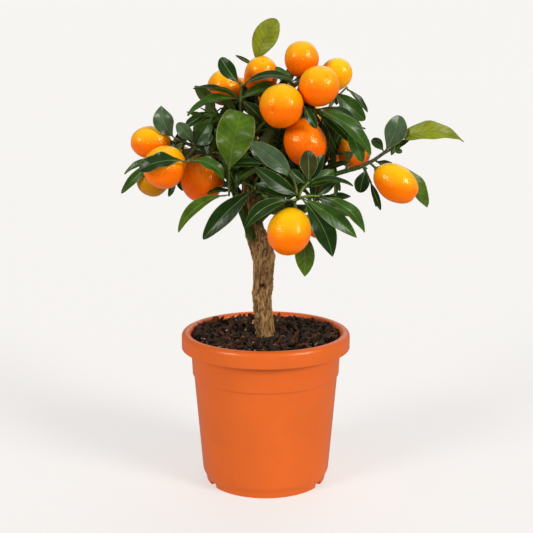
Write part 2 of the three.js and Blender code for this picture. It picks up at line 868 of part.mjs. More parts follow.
function potSolid() {
  const p = POT;
  const crestRound = p.rimRadius - p.rimCrestRadius;
  const innerRound = p.rimCrestRadius - p.rimMouthRadius;
  const skirtInside = p.rimRadius - p.skirtWall;
  const footInside = p.footRadius - p.footWall;
  const profile = [
    [0, 0],
    [p.bossRadius, 0],
    [p.bossRadius, p.footTop],
    [footInside, p.footTop],
    [footInside, 0],
    [p.footRadius, 0],
    [p.footTopRadius, p.footTop],
    [p.heelRadius, p.heelHeight],
    [p.stepLowerRadius, p.stepHeight - 1],
    [p.stepUpperRadius, p.stepHeight],
    [p.shoulderRadius, p.rimBottom],
    [p.shoulderRadius, p.height - 7],
    [skirtInside, p.height - 7],
    [skirtInside, p.rimBottom],
    [p.rimRadius, p.rimBottom],
    ...arc(p.rimRadius - crestRound, p.height - crestRound, crestRound, 0, 90, 3),
    ...arc(p.rimMouthRadius + innerRound, p.height - innerRound, innerRound, 90, 180, 2).slice(1),
    [p.shoulderRadius - p.wall, p.rimBottom],
    [p.stepUpperRadius - p.wall, p.stepHeight],
    [p.stepLowerRadius - p.wall, p.stepHeight - 2],
    [p.heelRadius - p.wall, p.heelHeight + 1],
    [p.heelRadius - p.wall - 2, p.floorTop],
    [0, p.floorTop],
  ];
  let pot = turned(profile);
  for (const angle of p.notchAngles) {
    const notch = new THREE.BoxGeometry(p.notchWidth, 12, 2 * p.notchHeight);
    notch.translate(0, -(p.footRadius - 2), 0);
    const drain = new THREE.CylinderGeometry(p.drainRadius, p.drainRadius, 3 * p.floorTop, 12);
    drain.rotateX(Math.PI / 2);
    drain.translate(0, -p.drainPlace, p.floorTop);
    for (const cutter of [notch, drain]) {
      cutter.rotateZ(angle * RAD);
      pot = pot.subtract(solidOf(cutter));
    }
  }
  return pot;
}

function soilSolid() {
  const p = POT;
  const inset = p.wall + GAP;
  return turned([
    [0, p.floorTop + GAP],
    [p.heelRadius - inset - 2, p.floorTop + GAP],
    [p.heelRadius - inset, p.heelHeight + 1],
    [p.stepLowerRadius - inset, p.stepHeight - 2],
    [p.stepUpperRadius - inset, p.stepHeight],
    [p.shoulderRadius - inset, p.rimBottom],
    [SOIL.topRadius, SOIL.top],
    [0, SOIL.top],
  ]);
}

const MATERIALS = {
  pot: new THREE.MeshStandardMaterial({ color: 0xe0662f, roughness: 0.5, metalness: 0 }),
  soil: new THREE.MeshStandardMaterial({ color: 0x33251d, roughness: 0.95, metalness: 0 }),
  bark: new THREE.MeshStandardMaterial({ color: 0x86694a, roughness: 0.9, metalness: 0 }),
  foliage: new THREE.MeshStandardMaterial({ color: 0x2f5a24, roughness: 0.45, metalness: 0 }),
};

const plant = new THREE.Group();

function addNode(name, solid, material) {
  const mesh = new THREE.Mesh(geometryOf(solid), material);
  mesh.name = name;
  plant.add(mesh);
}

addNode("pot", potSolid(), MATERIALS.pot);
addNode("soil", soilSolid(), MATERIALS.soil);

// The limbs, each cut clear of the ones that carry it.
const limbs = {};
for (const [name, limb] of Object.entries({ trunk: TRUNK, ...BOUGHS })) {
  let solid = limbSolid(limb);
  for (const other of Object.values(limbs)) solid = solid.subtract(other.wide);
  limbs[name] = {
    curve: limbCurve(limb),
    solid: largest(solid),
    wide: limbSolid(limb, GAP),
    clearRadius: (name === "trunk" ? Math.max(...limb.radii.slice(-4)) : limb.radii.at(-1)) + 1,
  };
}
for (const [name, limb] of Object.entries(limbs)) {
  addNode(name, limb.solid, MATERIALS.bark);
  keep(limb.solid, name);
}

const masses = [...FRONT_MASSES, ...BACK_MASSES.map(grownMass)];
for (const mass of masses) {
  for (const fruit of mass.fruit) fruit.stalkWay = heading(...fruit.stalk);
}
const fruits = masses.flatMap((mass) => mass.fruit);
for (const mass of masses) growWood(mass, limbs);
for (const mass of masses) growLeaves(mass, fruits);
for (const mass of masses) {
  const pieces = grown.filter((piece) => piece.owner === mass.name).map((piece) => piece.solid);
  addNode(mass.name, largest(wasm.Manifold.union(pieces)), MATERIALS.foliage);
}

export default plant;
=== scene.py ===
"""Nagami kumquat bonsai in its terracotta-coloured plastic pot, dressed around its solids.

The plant is worked out in millimetres in the frame of the solids: +Z up, the front faces -Y, and the
origin is the centre of the pot's underside. Meshes are made in metres.
"""

import math
from itertools import combinations

import bmesh
import bpy
import numpy as np
from mathutils import Matrix, Vector, noise


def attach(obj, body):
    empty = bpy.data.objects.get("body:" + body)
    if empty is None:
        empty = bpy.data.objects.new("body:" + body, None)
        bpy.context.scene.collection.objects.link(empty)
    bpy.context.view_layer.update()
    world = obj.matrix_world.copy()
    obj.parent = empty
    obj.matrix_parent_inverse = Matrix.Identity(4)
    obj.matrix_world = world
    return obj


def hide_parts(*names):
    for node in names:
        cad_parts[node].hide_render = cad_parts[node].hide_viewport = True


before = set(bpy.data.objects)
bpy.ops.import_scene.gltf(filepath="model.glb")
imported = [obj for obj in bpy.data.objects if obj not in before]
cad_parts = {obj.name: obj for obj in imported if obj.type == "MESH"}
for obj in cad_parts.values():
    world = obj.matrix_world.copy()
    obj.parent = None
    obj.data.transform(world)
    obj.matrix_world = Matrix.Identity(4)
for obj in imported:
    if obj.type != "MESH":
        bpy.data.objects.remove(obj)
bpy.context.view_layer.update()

MM = 0.001
RAD = math.pi / 180
ROUND = 2 * math.pi
UP = np.array([0.0, 0.0, 1.0])
RIGHT = np.array([1.0, 0.0, 0.0])
TOWARD_VIEWER = np.array([0.0, -1.0, 0.0])
GOLDEN_TURN = 137.5

# The front view that the plant's places are read in: a square picture 533 px wide, taken from this eye point.
VIEW = dict(distance=838, height=346, tilt=11.08 * RAD, focal=1036, centre_x=265.7, centre_y=266.5)
PICTURE = 533
SENSOR = 36

SOIL_TOP = 122


def seen(px, py, depth):
    """The point that shows at pixel (px, py) of the front view and lies this far behind the trunk's plane."""
    across_share = (px - VIEW["centre_x"]) / VIEW["focal"]
    up_share = (VIEW["centre_y"] - py) / VIEW["focal"]
    cos, sin = math.cos(VIEW["tilt"]), math.sin(VIEW["tilt"])
    reach = (depth + VIEW["distance"]) / (cos + up_share * sin)
    return np.array([across_share * reach, depth, VIEW["height"] + (up_share * cos - sin) * reach])


def pixel_of(place):
    """The pixel of the front view that a point shows at."""
    cos, sin = math.cos(VIEW["tilt"]), math.sin(VIEW["tilt"])
    y, z = place[1] + VIEW["distance"], place[2] - VIEW["height"]
    depth = y * cos - z * sin
    return (
        VIEW["centre_x"] + VIEW["focal"] * place[0] / depth,
        VIEW["centre_y"] - VIEW["focal"] * (y * sin + z * cos) / depth,
    )


def spray(px, py, depth, *leaves, fill=0):
    """Leaves from one point of the front view, and how many more fill the crown behind them. A leaf's row
    holds its clock angle, length, lean towards the viewer, roll, width share, arch and what sets it apart."""
    return dict(at=seen(px, py, depth), leaves=leaves, fill=fill)


def berry(px, py, depth, width, length, clock, lean, look="orange"):
    """A fruit whose middle shows at a pixel of the front view. Its stalk has a clock angle and a lean."""
    return dict(at=seen(px, py, depth), width=width, length=length, stalk=(clock, lean), look=look)


TRUNK = dict(
    path=[
        (0, 0, SOIL_TOP - 5), (-1, 0, 134), (-3, 0, 154), (-2, 0, 172), (-2, 0, 190), (-6, 0, 204),
        (-10, 1, 218), (-13, 1, 234), (-14, 0, 250), (-12, 0, 268),
    ],
    radii=(8.4, 7.2, 7.1, 7.3, 7.6, 8.3, 8.8, 7, 5.5, 4.9, 4.4, 3.6),
)

BOUGHS = dict(
    bough_left=dict(
        path=[
            (-5, -1, 200), (-11, -5, 209), (-18, -6, 226), (-23, -8, 239), (-30, -10, 259), (-34, -9, 272),
        ],
        radii=(4.6, 3.6, 2.8, 2.4, 2),
    ),
    bough_right=dict(
        path=[(-12, -1, 236), (8, -11, 243), (27, -14, 249), (57, -13, 260), (75, -13, 265)],
        radii=(3, 2.6, 2.2, 1.9, 1.6),
    ),
    bough_front=dict(
        path=[(-9, 0, 216), (2, -15, 229), (13, -28, 236), (21, -38, 240)],
        radii=(2.8, 2.4, 2, 1.7),
    ),
    bough_top_left=dict(path=[(-12, 0, 267), (-15, -5, 285), (-19, -11, 303)], radii=(2.6, 2.2, 1.6)),
    bough_top_right=dict(
        path=[(-13, 0, 257), (1, 1, 278), (13, 2, 296), (23, 0, 308)],
        radii=(2.8, 2.3, 2, 1.6),
    ),
    bough_back_left=dict(path=[(-11, 0, 226), (-24, 18, 244), (-38, 33, 258)], radii=(2.8, 2.3, 1.7)),
    bough_back_right=dict(path=[(-9, 0, 216), (9, 18, 236), (34, 34, 254)], radii=(3, 2.4, 1.7)),
)

FRONT_MASSES = [
    dict(
        name="mass_left_end", limb="bough_left",
        stem=[seen(205, 152, -8), seen(188, 144, -2), seen(176, 139, -3)],
        sprays=[
            spray(
                174, 138, -4,
                (338, 28, 5, 0, 0.66, dict(look="grey", outline="drop", sway=-0.1, wave=0.1)), fill=1,
            ),
            spray(
                193, 143, -10,
                (322, 21, 15, 0, 0.6, dict(look="grey")), (60, 17, 10, 10, 0.6, dict(look="grey")),
                (345, 13, 5, 0, 0.6, dict(look="grey")), fill=2,
            ),
            spray(
                187, 162, -38,
                (262, 38, -2, 45, 0.46, 0.16, dict(wave=0.1, waves=2.4)),
                (117, 31, 0, 50, 0.42, 0.24, dict(wave=0.1, waves=2.4)),
            ),
            spray(158, 158, 8, (246, 32, 0, 40, 0.22), (228, 46, -4, 30, 0.2, 0.15), fill=1),
            spray(174, 178, 8, (198, 17, 0, 0, 0.35), (160, 17, 0, 0, 0.35), fill=2),
        ],
        fruit=[
            berry(151, 142.3, 2, 26, 33, 92, 0),
            berry(164.7, 167, -24, 33, 35, 39, -10),
            berry(202.4, 178, 3, 35, 43, 0, -47, look="deep"),
            berry(154, 178, 14, 27.5, 31, 25, -20, look="ochre"),
        ],
    ),
    dict(
        name="mass_left_low", limb="bough_left", along=0.72,
        stem=[seen(229, 187, -24)],
        sprays=[
            spray(
                229, 172, -34,
                (
                    12, 48, 2, 8, 0.68, 0.03,
                    dict(look="fresh", outline="square", wave=0.14, waves=2.8, sway=-0.03),
                ),
            ),
            spray(229, 196, -26, (234, 50, 4, 30, 0.21, 0.1, dict(look="fresh", fold=0.7, sway=0.12))),
        ],
        fruit=[],
    ),
    dict(
        name="mass_left_mid", limb="bough_top_left", along=0.4,
        stem=[seen(232, 142, 4), seen(219, 130, 2)],
        sprays=[
            spray(
                213, 110, -6,
                (240, 28, 5, 40, 0.34), (212, 30, 5, 20, 0.5), (96, 14, 0, 40, 0.35), fill=3,
            ),
            spray(
                210, 147, 2,
                (350, 22, 5, 10, 0.45), (300, 16, 10, 10, 0.55), (20, 22, 0, 10, 0.4), fill=3,
            ),
            spray(226, 152, 4, (340, 27, 5, 10, 0.4), (25, 30, 5, 10, 0.4), (200, 22, 5, 10, 0.35), fill=3),
        ],
        fruit=[],
    ),
    dict(
        name="mass_inner_left", limb="trunk", along=0.9,
        stem=[seen(257, 184, -14)],
        sprays=[
            spray(255, 189, -20, (226, 58, 6, 12, 0.3), fill=1),
            spray(268, 164, -22, (271, 30, 0, 40, 0.34), (330, 26, 0, 20, 0.36), fill=3),
        ],
        fruit=[],
    ),
    dict(
        name="mass_top_left", limb="bough_top_left",
        stem=[seen(240.6, 99, -16)],
        sprays=[
            spray(
                240.6, 98, -18,
                (284, 38, 4, 66, 0.26, 0.08), (255, 44, 4, 55, 0.28, 0.14), (69, 33, 8, 40, 0.22, 0.1),
                (136, 30, 0, 15, 0.4), fill=4,
            ),
            spray(241, 84, -24, (323, 26, 0, 5, 0.52), (79, 41, 2, 50, 0.26, 0.2, dict(fold=0.1))),
        ],
        fruit=[berry(224.5, 88, 6, 28, 31, 227, -60), berry(241, 94, 33, 24, 27, 180, 20)],
    ),
    dict(
        name="mass_crest", limb="bough_top_left", along=0.6,
        stem=[seen(256, 126, 10), seen(256, 98, 13)],
        sprays=[
            spray(
                256, 63, 14,
                (26, 39, 3, 5, 0.56, 0.05, dict(look="pale", sway=-0.07, outline="club", wave=0.06)),
                (299, 19, 0, 10, 0.2, dict(look="bronze")),
            ),
            spray(262, 112, 16, (320, 28, -10, 20, 0.38), (60, 26, -20, 20, 0.38), fill=2),
        ],
        fruit=[berry(260.8, 76, 2, 27, 35, 190, -45)],
    ),
    dict(
        name="mass_top_right", limb="bough_top_right",
        stem=[seen(303, 104, -12)],
        sprays=[
            spray(304, 107, -36, (149, 19, 6, 10, 0.44)),
            spray(293, 83, -15, (288, 29, 3, 115, 0.32, 0.05), (317, 22, -20, 30, 0.36), fill=2),
        ],
        fruit=[
            berry(301.6, 59.3, -2, 27, 29, 182, 0),
            berry(318.9, 86.3, -23, 31.5, 33, 215, -55),
            berry(335, 75, 8, 25, 29, 232, -20, look="gold"),
            berry(281.6, 105.7, -30, 34, 35, 66, -62),
        ],
    ),
    dict(
        name="mass_core", limb="bough_top_right", along=0.42,
        stem=[seen(286, 140, 2)],
        sprays=[
            spray(
                284, 148, 0,
                (300, 30, 5, 20, 0.36), (330, 27, 5, 20, 0.36), (230, 24, 0, 20, 0.36), fill=4,
            ),
        ],
        fruit=[berry(304.8, 142.5, -18, 33.5, 39, 342, -20, look="deep")],
    ),
    dict(
        name="mass_upper_right", limb="bough_top_right", along=0.93,
        stem=[seen(322, 112, -6), seen(334, 110, -4)],
        sprays=[
            spray(
                315, 109, -24,
                (108, 42, -12, 60, 0.3, 0.12), (128, 57, 2, 45, 0.27, 0.22, dict(look="mid")),
                (131, 41, 12, 20, 0.26, 0.08),
            ),
            spray(333, 89, 2, (131, 36, -4, 20, 0.44, 0.1, dict(look="mid")), fill=2),
            spray(347, 87, 12, (136, 27, -6, 50, 0.28), fill=1),
            spray(
                322, 117, 2,
                (178, 30, 4, 5, 0.42), (154, 36, -4, 5, 0.42), (298, 16, -4, 5, 0.62), fill=1,
            ),
            spray(349, 124, -26, (159, 32, 4, 8, 0.42, dict(look="mid")), (205, 20, -20, 20, 0.36), fill=1),
        ],
        fruit=[berry(353.5, 151, 5, 27, 29, 330, -10)],
    ),
    dict(
        name="mass_right_arm", limb="bough_right",
        stem=[seen(374, 160, -12), seen(384, 153, -11), seen(397, 146, -10)],
        sprays=[
            spray(
                384, 151, -10,
                (21, 31, 4, 8, 0.64, 0.1, dict(look="grey", sway=0.05)), (318, 15, -20, 10, 0.6), fill=1,
            ),
            spray(
                399, 138, -10,
                (91, 53, 0, 34, 0.34, 0.24, dict(look="pale", outline="lance", wave=0.06, waves=3)),
                (205, 12, 10, 20, 0.4),
            ),
            spray(
                393, 151, -8,
                (56, 17, 0, 20, 0.28), (98, 9, 5, 20, 0.6), (37, 15, 0, 10, 0.36), (18, 10, -6, 10, 0.4),
                (70, 9, 8, 10, 0.4), fill=1,
            ),
            spray(
                377, 162, 5,
                (129, 58, -6, 50, 0.38, 0.12, dict(look="fresh", outline="club", fold=0.3)),
                (95, 13, 10, 30, 0.3),
            ),
            spray(367, 169, -14, (193, 20, 4, 0, 0.68)),
            spray(371, 183, -8, (166, 21, 0, 40, 0.24), (159, 26, 8, 20, 0.24)),
        ],
        fruit=[berry(395.7, 183, -22, 28.5, 38.5, 305, -12, look="yellow")],
    ),
    dict(
        name="mass_front_low", twigs="twig_bright", limb="bough_front",
        stem=[seen(300, 197, -44)],
        sprays=[
            spray(
                301, 196, -46,
                (304, 42, 8, 14, 0.32), (286, 35, -6, 20, 0.34),
                (125, 54, 6, 14, 0.26, dict(outline="drop")),
                (151, 53, 6, 4, 0.36, dict(look="deep", outline="drop", sway=-0.08)),
            ),
            spray(293, 200, -47, (241, 43, 4, 34, 0.3, 0.2, dict(look="deep", sway=0.06))),
            spray(294, 179, -46, (311, 45, 8, 12, 0.36, dict(look="grey"))),
            spray(
                309, 182, -48,
                (358, 25, 4, 0, 0.62, dict(look="bronze")), (313, 17, 8, 20, 0.5), (30, 28, -8, 10, 0.4),
                (61, 28, -14, 14, 0.4), (85, 38, 4, 60, 0.26, 0.14),
            ),
            spray(
                320, 196, -42,
                (127, 46, 3, 40, 0.27, 0.26, dict(outline="drop")), (53, 18, 4, 10, 0.4),
                (105, 27, -22, 10, 0.4), fill=1,
            ),
        ],
        fruit=[berry(289.3, 231.3, -50, 34, 38, 22, -28, look="yellow")],
    ),
    dict(
        name="mass_low_back", limb="bough_back_right", along=0.3,
        stem=[seen(302, 206, 2), seen(314, 207, -4)],
        sprays=[
            spray(298, 224, -26, (173, 43, 4, 4, 0.41, dict(look="fresh", outline="drop", sway=-0.05))),
            spray(322, 204, -2, (110, 30, -10, 30, 0.34), (75, 28, -10, 40, 0.34), fill=3),
        ],
        fruit=[berry(318, 226, -6, 19, 20, 350, 0)],
    ),
    dict(
        name="mass_inner_right", limb="bough_right", along=0.45,
        stem=[seen(318, 172, -8)],
        sprays=[
            spray(322, 170, -6, (70, 24, 0, 50, 0.3), (20, 22, 0, 10, 0.36), fill=4),
            spray(329, 155, 0, (83, 18, 8, 75, 0.25), (150, 16, 0, 10, 0.4), fill=1),
        ],
        fruit=[berry(321, 148, 22, 25, 28, 200, 30)],
    ),
]

BACK_MASSES = [
    dict(
        name="mass_back_left", limb="bough_back_left", heart=(-60, 46, 268), reach=(44, 34, 38),
        counts=(4, 6),
        fruit=[(-74, 66, 260, 29), (-46, 60, 286, 27)],
        seed=11,
    ),
    dict(
        name="mass_back_right", limb="bough_back_right", heart=(58, 50, 280), reach=(38, 32, 28),
        counts=(4, 6),
        fruit=[(66, 64, 277, 28), (40, 70, 296, 26)],
        seed=23,
    ),
    dict(
        name="mass_back_top", limb="trunk", along=0.97, heart=(6, 46, 310), reach=(42, 30, 32),
        counts=(4, 6),
        fruit=[(-2, 62, 312, 27)],
        seed=31,
    ),
    dict(
        name="mass_back_mid", limb="bough_back_left", along=0.8, heart=(-8, 64, 274), reach=(36, 32, 34),
        counts=(4, 6),
        fruit=[(-16, 84, 268, 31), (14, 86, 286, 27)],
        seed=47,
    ),
    dict(
        name="mass_back_low", limb="bough_back_right", along=0.75, heart=(16, 56, 250), reach=(42, 34, 22),
        counts=(3, 7),
        fruit=[(22, 78, 245, 25)],
        seed=59,
    ),
]


TWIG = dict(
    root=1.6, tip=1.25, side=0.8, end=0.6, stalk=1.1, straight=16, bow=2, lag=0.25, leaf_spacing=2,
    last_foot=0.8, sides=6, steps=4, stem_sides=8, stem_steps=24,
)
LEAF = dict(
    fold=0.2, width_share=0.36, hidden_share=0.41, roll=35, arch=0.08, thickness=0.5, petiole=0.06,
    petiole_half=0.55,
)
SPIRAL = dict(leaf=(24, 40), first_angle=84, last_angle=36, upright=0.6)
SETTLING = (0, 9, -9, 18, -18, 27, -27)
# How far past a back mass's oval its leaves may reach, and the share of plain leaves that are deep green.
OVAL_EASE = 1.25
DEEP_SHARE = dict(spray=0.66, shoot=0.8)

# Finer growth than the solids carry: side twigs on each spray and short shoots along the limbs.
SIDE = dict(count=3, leaves=4, length=(9, 17), leaf=(17, 30), open=(35, 75), place=(0.1, 0.6))
SHOOTS = dict(
    trunk=(0.72, 0.98), bough=(0.2, 0.95), spacing=13, length=(7, 16), leaves=5, leaf=(18, 32), forward=0.6,
    upward=0.3,
)

# Gaps of sky in the front view, as pixel and radius, and the ovals of pixels where it is dense with leaves.
SKY_GAPS = [(332, 104, 4), (349, 109, 4), (303, 116, 3), (339, 163, 6), (157, 138, 9), (298, 199, 6)]
DENSE = [
    (165, 158, 30, 26), (215, 152, 42, 42), (225, 108, 40, 36), (290, 132, 62, 72), (335, 128, 32, 38),
    (298, 202, 46, 32),
]


def seeded(seed):
    """A seeded generator of numbers from 0 to 1, the same one that the solids use."""
    mask = 0xFFFFFFFF
    state = seed & mask

    def draw():
        nonlocal state
        state = (state + 0x6D2B79F5) & mask
        t = ((state ^ (state >> 15)) * (state | 1)) & mask
        t ^= (t + ((t ^ (t >> 7)) * (t | 61))) & mask
        return (t ^ (t >> 14)) / (mask + 1)

    return draw


def between(limits, random):
    low, high = limits
    return low + (high - low) * random()


def unit(vector):
    return vector / np.linalg.norm(vector)


def across(vector, axis):
    return unit(vector - axis * np.dot(vector, axis))


def heading(clock, lean):
    """A direction given as a clock angle in the front view (0 up, 90 right) and a lean towards the viewer."""
    flat = math.cos(lean * RAD)
    return np.array([flat * math.sin(clock * RAD), -math.sin(lean * RAD), flat * math.cos(clock * RAD)])


def spokes(axis, turns, first=None):
    """The direction at each turn round an axis, square to it."""
    if first is None:
        first = across(UP if abs(axis[2]) < 0.9 else TOWARD_VIEWER, axis)
    turns = np.asarray(turns)[..., None]
    return np.cos(turns) * first + np.sin(turns) * np.cross(axis, first)


def round_turns(count):
    return np.arange(count) / count * ROUND


class Line:
    """A smooth centripetal curve through some points, read by the share of its length."""

    def __init__(self, points, per_span=16):
        points = np.array(points, float)
        padded = np.vstack([2 * points[0] - points[1], points, 2 * points[-1] - points[-2]])
        share = (np.arange(per_span) / per_span)[:, None]
        run = []
        for i in range(len(points) - 1):
            a, b, c, d = padded[i : i + 4]
            before, here, after = (
                max(np.linalg.norm(q - p), 1e-6) ** 0.5 for p, q in ((a, b), (b, c), (c, d))
            )
            leaving = ((b - a) / before - (c - a) / (before + here) + (c - b) / here) * here
            coming = ((c - b) / here - (d - b) / (here + after) + (d - c) / after) * here
            run.append(
                (2 * share**3 - 3 * share**2 + 1) * b
                + (share**3 - 2 * share**2 + share) * leaving
                + (3 * share**2 - 2 * share**3) * c
                + (share**3 - share**2) * coming
            )
        self.points = np.vstack([*run, points[-1:]])
        steps = np.linalg.norm(np.diff(self.points, axis=0), axis=1)
        self.reached = np.concatenate([[0], np.cumsum(steps)])
        self.length = self.reached[-1]

    def at(self, shares):
        places = np.atleast_1d(shares) * self.length
        return np.stack([np.interp(places, self.reached, self.points[:, i]) for i in range(3)], axis=-1)

    def way(self, shares, step=0.01):
        shares = np.atleast_1d(shares)
        leaps = self.at(np.minimum(shares + step, 1)) - self.at(np.maximum(shares - step, 0))
        return np.array([unit(leap) for leap in leaps])


def leaf_from_row(at, row):
    """A leaf record from a row of a spray."""
    apart = row[-1] if isinstance(row[-1], dict) else {}
    numbers = [n for n in row if not isinstance(n, dict)]
    defaults = [None, None, None, LEAF["roll"], LEAF["width_share"], LEAF["arch"]]
    clock, length, lean, roll, width_share, arch = numbers + defaults[len(numbers) :]
    way = heading(clock, lean)
    face = across(TOWARD_VIEWER * math.cos(roll * RAD) + UP * math.sin(roll * RAD), way)
    return dict(foot=at, way=way, face=face, length=length, width_share=width_share, arch=arch, **apart)


def spiral(foot, axis, count, random, lengths=SPIRAL["leaf"]):
    """Leaves set round an axis, each a golden turn on from the last and closer to the axis."""
    start = random() * 360
    leaves = []
    for i in range(count):
        share = i / (count - 1) if count > 1 else 0.5
        angle = (SPIRAL["first_angle"] + (SPIRAL["last_angle"] - SPIRAL["first_angle"]) * share) * RAD
        out = spokes(axis, (start + i * GOLDEN_TURN) * RAD)
        way = axis * math.cos(angle) + out * math.sin(angle)
        leaves.append(dict(
            foot=foot, way=way, face=across(axis * SPIRAL["upright"] + UP, way),
            length=between(lengths, random), width_share=LEAF["hidden_share"], arch=LEAF["arch"],
        ))
    return leaves


def grown_mass(row):
    """A back mass as a record like a front one's: sprays spread over its reach by the golden turn."""
    random = seeded(row["seed"])
    heart, reach = np.array(row["heart"], float), np.array(row["reach"], float)
    spray_count, leaf_count = row["counts"]
    outward = unit(heart * (1, 1, 0))
    sprays = []
    for i in range(spray_count):
        turn = (i * GOLDEN_TURN + row["seed"]) * RAD
        lift = 1 - (2 * (i + 0.5)) / spray_count
        flat = math.sqrt(1 - lift * lift)
        at = heart + np.array([flat * math.cos(turn), flat * math.sin(turn), lift]) * reach * 0.5
        axis = unit(unit(at - heart) + outward + UP * 0.3)
        sprays.append(dict(at=at, leaves=spiral(at, axis, leaf_count, random), fill=0))
    fruit = [
        dict(
            at=np.array(place, float), width=width, length=width * 1.13, stalk=(40 * random() - 20, 0),
            look="orange",
        )
        for *place, width in row["fruit"]
    ]
    return {**row, "stem": [heart], "sprays": sprays, "fruit": fruit, "inside": (heart, reach)}


def rib_point(leaf, share):
    bow = leaf["length"] * leaf["arch"] * 4 * share * (1 - share)
    return leaf["foot"] + leaf["way"] * leaf["length"] * share + leaf["face"] * bow


def ball_holds(fruit, place, margin=0.6):
    from_heart = place - fruit["at"]
    along = np.dot(from_heart, fruit["stalk_way"])
    out = np.linalg.norm(from_heart - fruit["stalk_way"] * along)
    return math.hypot(along / (fruit["length"] / 2 + margin), out / (fruit["width"] / 2 + margin)) < 1


def meets_fruit(leaf):
    """Whether a leaf's rib or edges run into a fruit, at these shares of its length and half its width."""
    edge = np.cross(leaf["way"], leaf["face"]) * leaf["length"] * leaf["width_share"] / 2
    return any(
        ball_holds(fruit, rib_point(leaf, share) + edge * width * side)
        for share, width in ((0.25, 0.6), (0.45, 1), (0.6, 1), (0.75, 0.8), (0.9, 0.4), (1, 0))
        for side in (0, 1, -1)
        for fruit in FRUITS
    )


def meets_limb(leaf):
    for share in (0.35, 0.7, 1):
        gaps = np.linalg.norm(LIMB_SPOTS[:, :3] - rib_point(leaf, share), axis=1) - LIMB_SPOTS[:, 3]
        if gaps.min() < 1:
            return True
    return False


def within(place, x, y, wide, high):
    """Whether a point shows inside an oval of the front view."""
    px, py = pixel_of(place)
    return math.hypot((px - x) / wide, (py - y) / high) < 1


def settles(leaf):
    """Whether a hidden leaf is free of limbs and fruit, closes no gap of sky and stays where the view is
    dense, so that it fills the crown without widening it."""
    if meets_limb(leaf):
        return False
    for share in (0.2, 0.4, 0.6, 0.8, 1):
        if any(within(rib_point(leaf, share), x, y, radius, radius) for x, y, radius in SKY_GAPS):
            return False
    for share in (0.25, 0.5, 0.75, 1):
        if not any(within(rib_point(leaf, share), *oval) for oval in DENSE):
            return False
    return not meets_fruit(leaf)


def leanings(leaf):
    """The leaf as it is, then turned towards the viewer or away, further each time."""
    axis = Vector(unit(np.cross(leaf["way"], TOWARD_VIEWER)))
    for degrees in SETTLING:
        turn = Matrix.Rotation(degrees * RAD, 3, axis)
        turned = {part: np.array(turn @ Vector(leaf[part])) for part in ("way", "face")}
        yield {**leaf, **turned} if degrees else leaf


class Heap:
    """Triangles gathered for one joined piece, with the look that each wears."""

    def __init__(self, looks):
        self.looks = list(looks)
        self.points, self.faces, self.worn, self.creases, self.marks = [], [], [], [], []
        self.count = 0

    def add(self, points, faces, look, creases=(), marks=None):
        """look is one look's name, or a slot number for each face. marks are two numbers for each point."""
        points = np.asarray(points, float)
        self.points.append(points)
        self.faces.append(np.asarray(faces, int) + self.count)
        self.worn.append(np.full(len(faces), self.looks.index(look)) if isinstance(look, str) else look)
        if len(creases):
            self.creases.append(creases + self.count)
        self.marks.append(np.zeros((len(points), 2)) if marks is None else marks)
        self.count += len(points)

    def piece(self, name, slot, *nodes):
        """The joined piece, riding on the root body in place of these nodes."""
        points, faces = np.vstack(self.points), np.vstack(self.faces)
        mesh = bpy.data.meshes.new(name)
        mesh.from_pydata((points * MM).tolist(), [], faces.tolist())
        mesh.polygons.foreach_set("material_index", np.concatenate(self.worn).astype(np.int32))
        mesh.polygons.foreach_set("use_smooth", np.ones(len(faces), bool))
        corners = mesh.uv_layers.new(name="place")
        corners.data.foreach_set("uv", np.vstack(self.marks)[faces.ravel()].astype(np.float32).ravel())
        if self.creases:
            pairs = np.sort(np.vstack(self.creases), axis=1)
            edges = np.zeros(2 * len(mesh.edges), np.int32)
            mesh.edges.foreach_get("vertices", edges)
            edges = np.sort(edges.reshape(-1, 2), axis=1)
            sharp = np.isin(edges @ (self.count, 1), pairs @ (self.count, 1))
            mesh.attributes.new("sharp_edge", "BOOLEAN", "EDGE").data.foreach_set("value", sharp)
        for look in self.looks:
            mesh.materials.append(LOOKS[look])
        mesh.update()
        thing = placed(name, mesh)
        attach(thing, "root")
        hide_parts(*nodes)
        return thing


def placed(name, data):
    """A new object in the scene."""
    thing = bpy.data.objects.new(name, data)
    bpy.context.scene.collection.objects.link(thing)
    return thing


def split(quads):
    return np.vstack([quads[:, :3], quads[:, [0, 2, 3]]])


def grid_faces(rows, columns, flip=False):
    """Triangles over rings of points."""
    i, j = np.meshgrid(np.arange(rows - 1), np.arange(columns), indexing="ij")
    a = i * columns + j
    b = i * columns + (j + 1) % columns
    quads = np.stack([a, b, b + columns, a + columns], axis=-1).reshape(-1, 4)
    return split(quads[:, ::-1] if flip else quads)


def ring_faces(rows, columns, flip=False):
    """Triangles over rings of points, closed at both ends on two middle points that follow the rings."""
    ring = np.arange(columns)
    caps = []
    for end, middle, turned in ((0, 0, not flip), ((rows - 1) * columns, 1, flip)):
        pair = [end + ring, end + np.roll(ring, -1)]
        middles = np.full(columns, rows * columns + middle)
        caps.append(np.stack([middles, *(pair[::-1] if turned else pair)], axis=-1))
    return np.vstack([grid_faces(rows, columns, flip), *caps])


def tapered(values, shares):
    """Values spread evenly over a length, read at these shares of it."""
    return np.interp(shares, np.linspace(0, 1, len(values)), values)


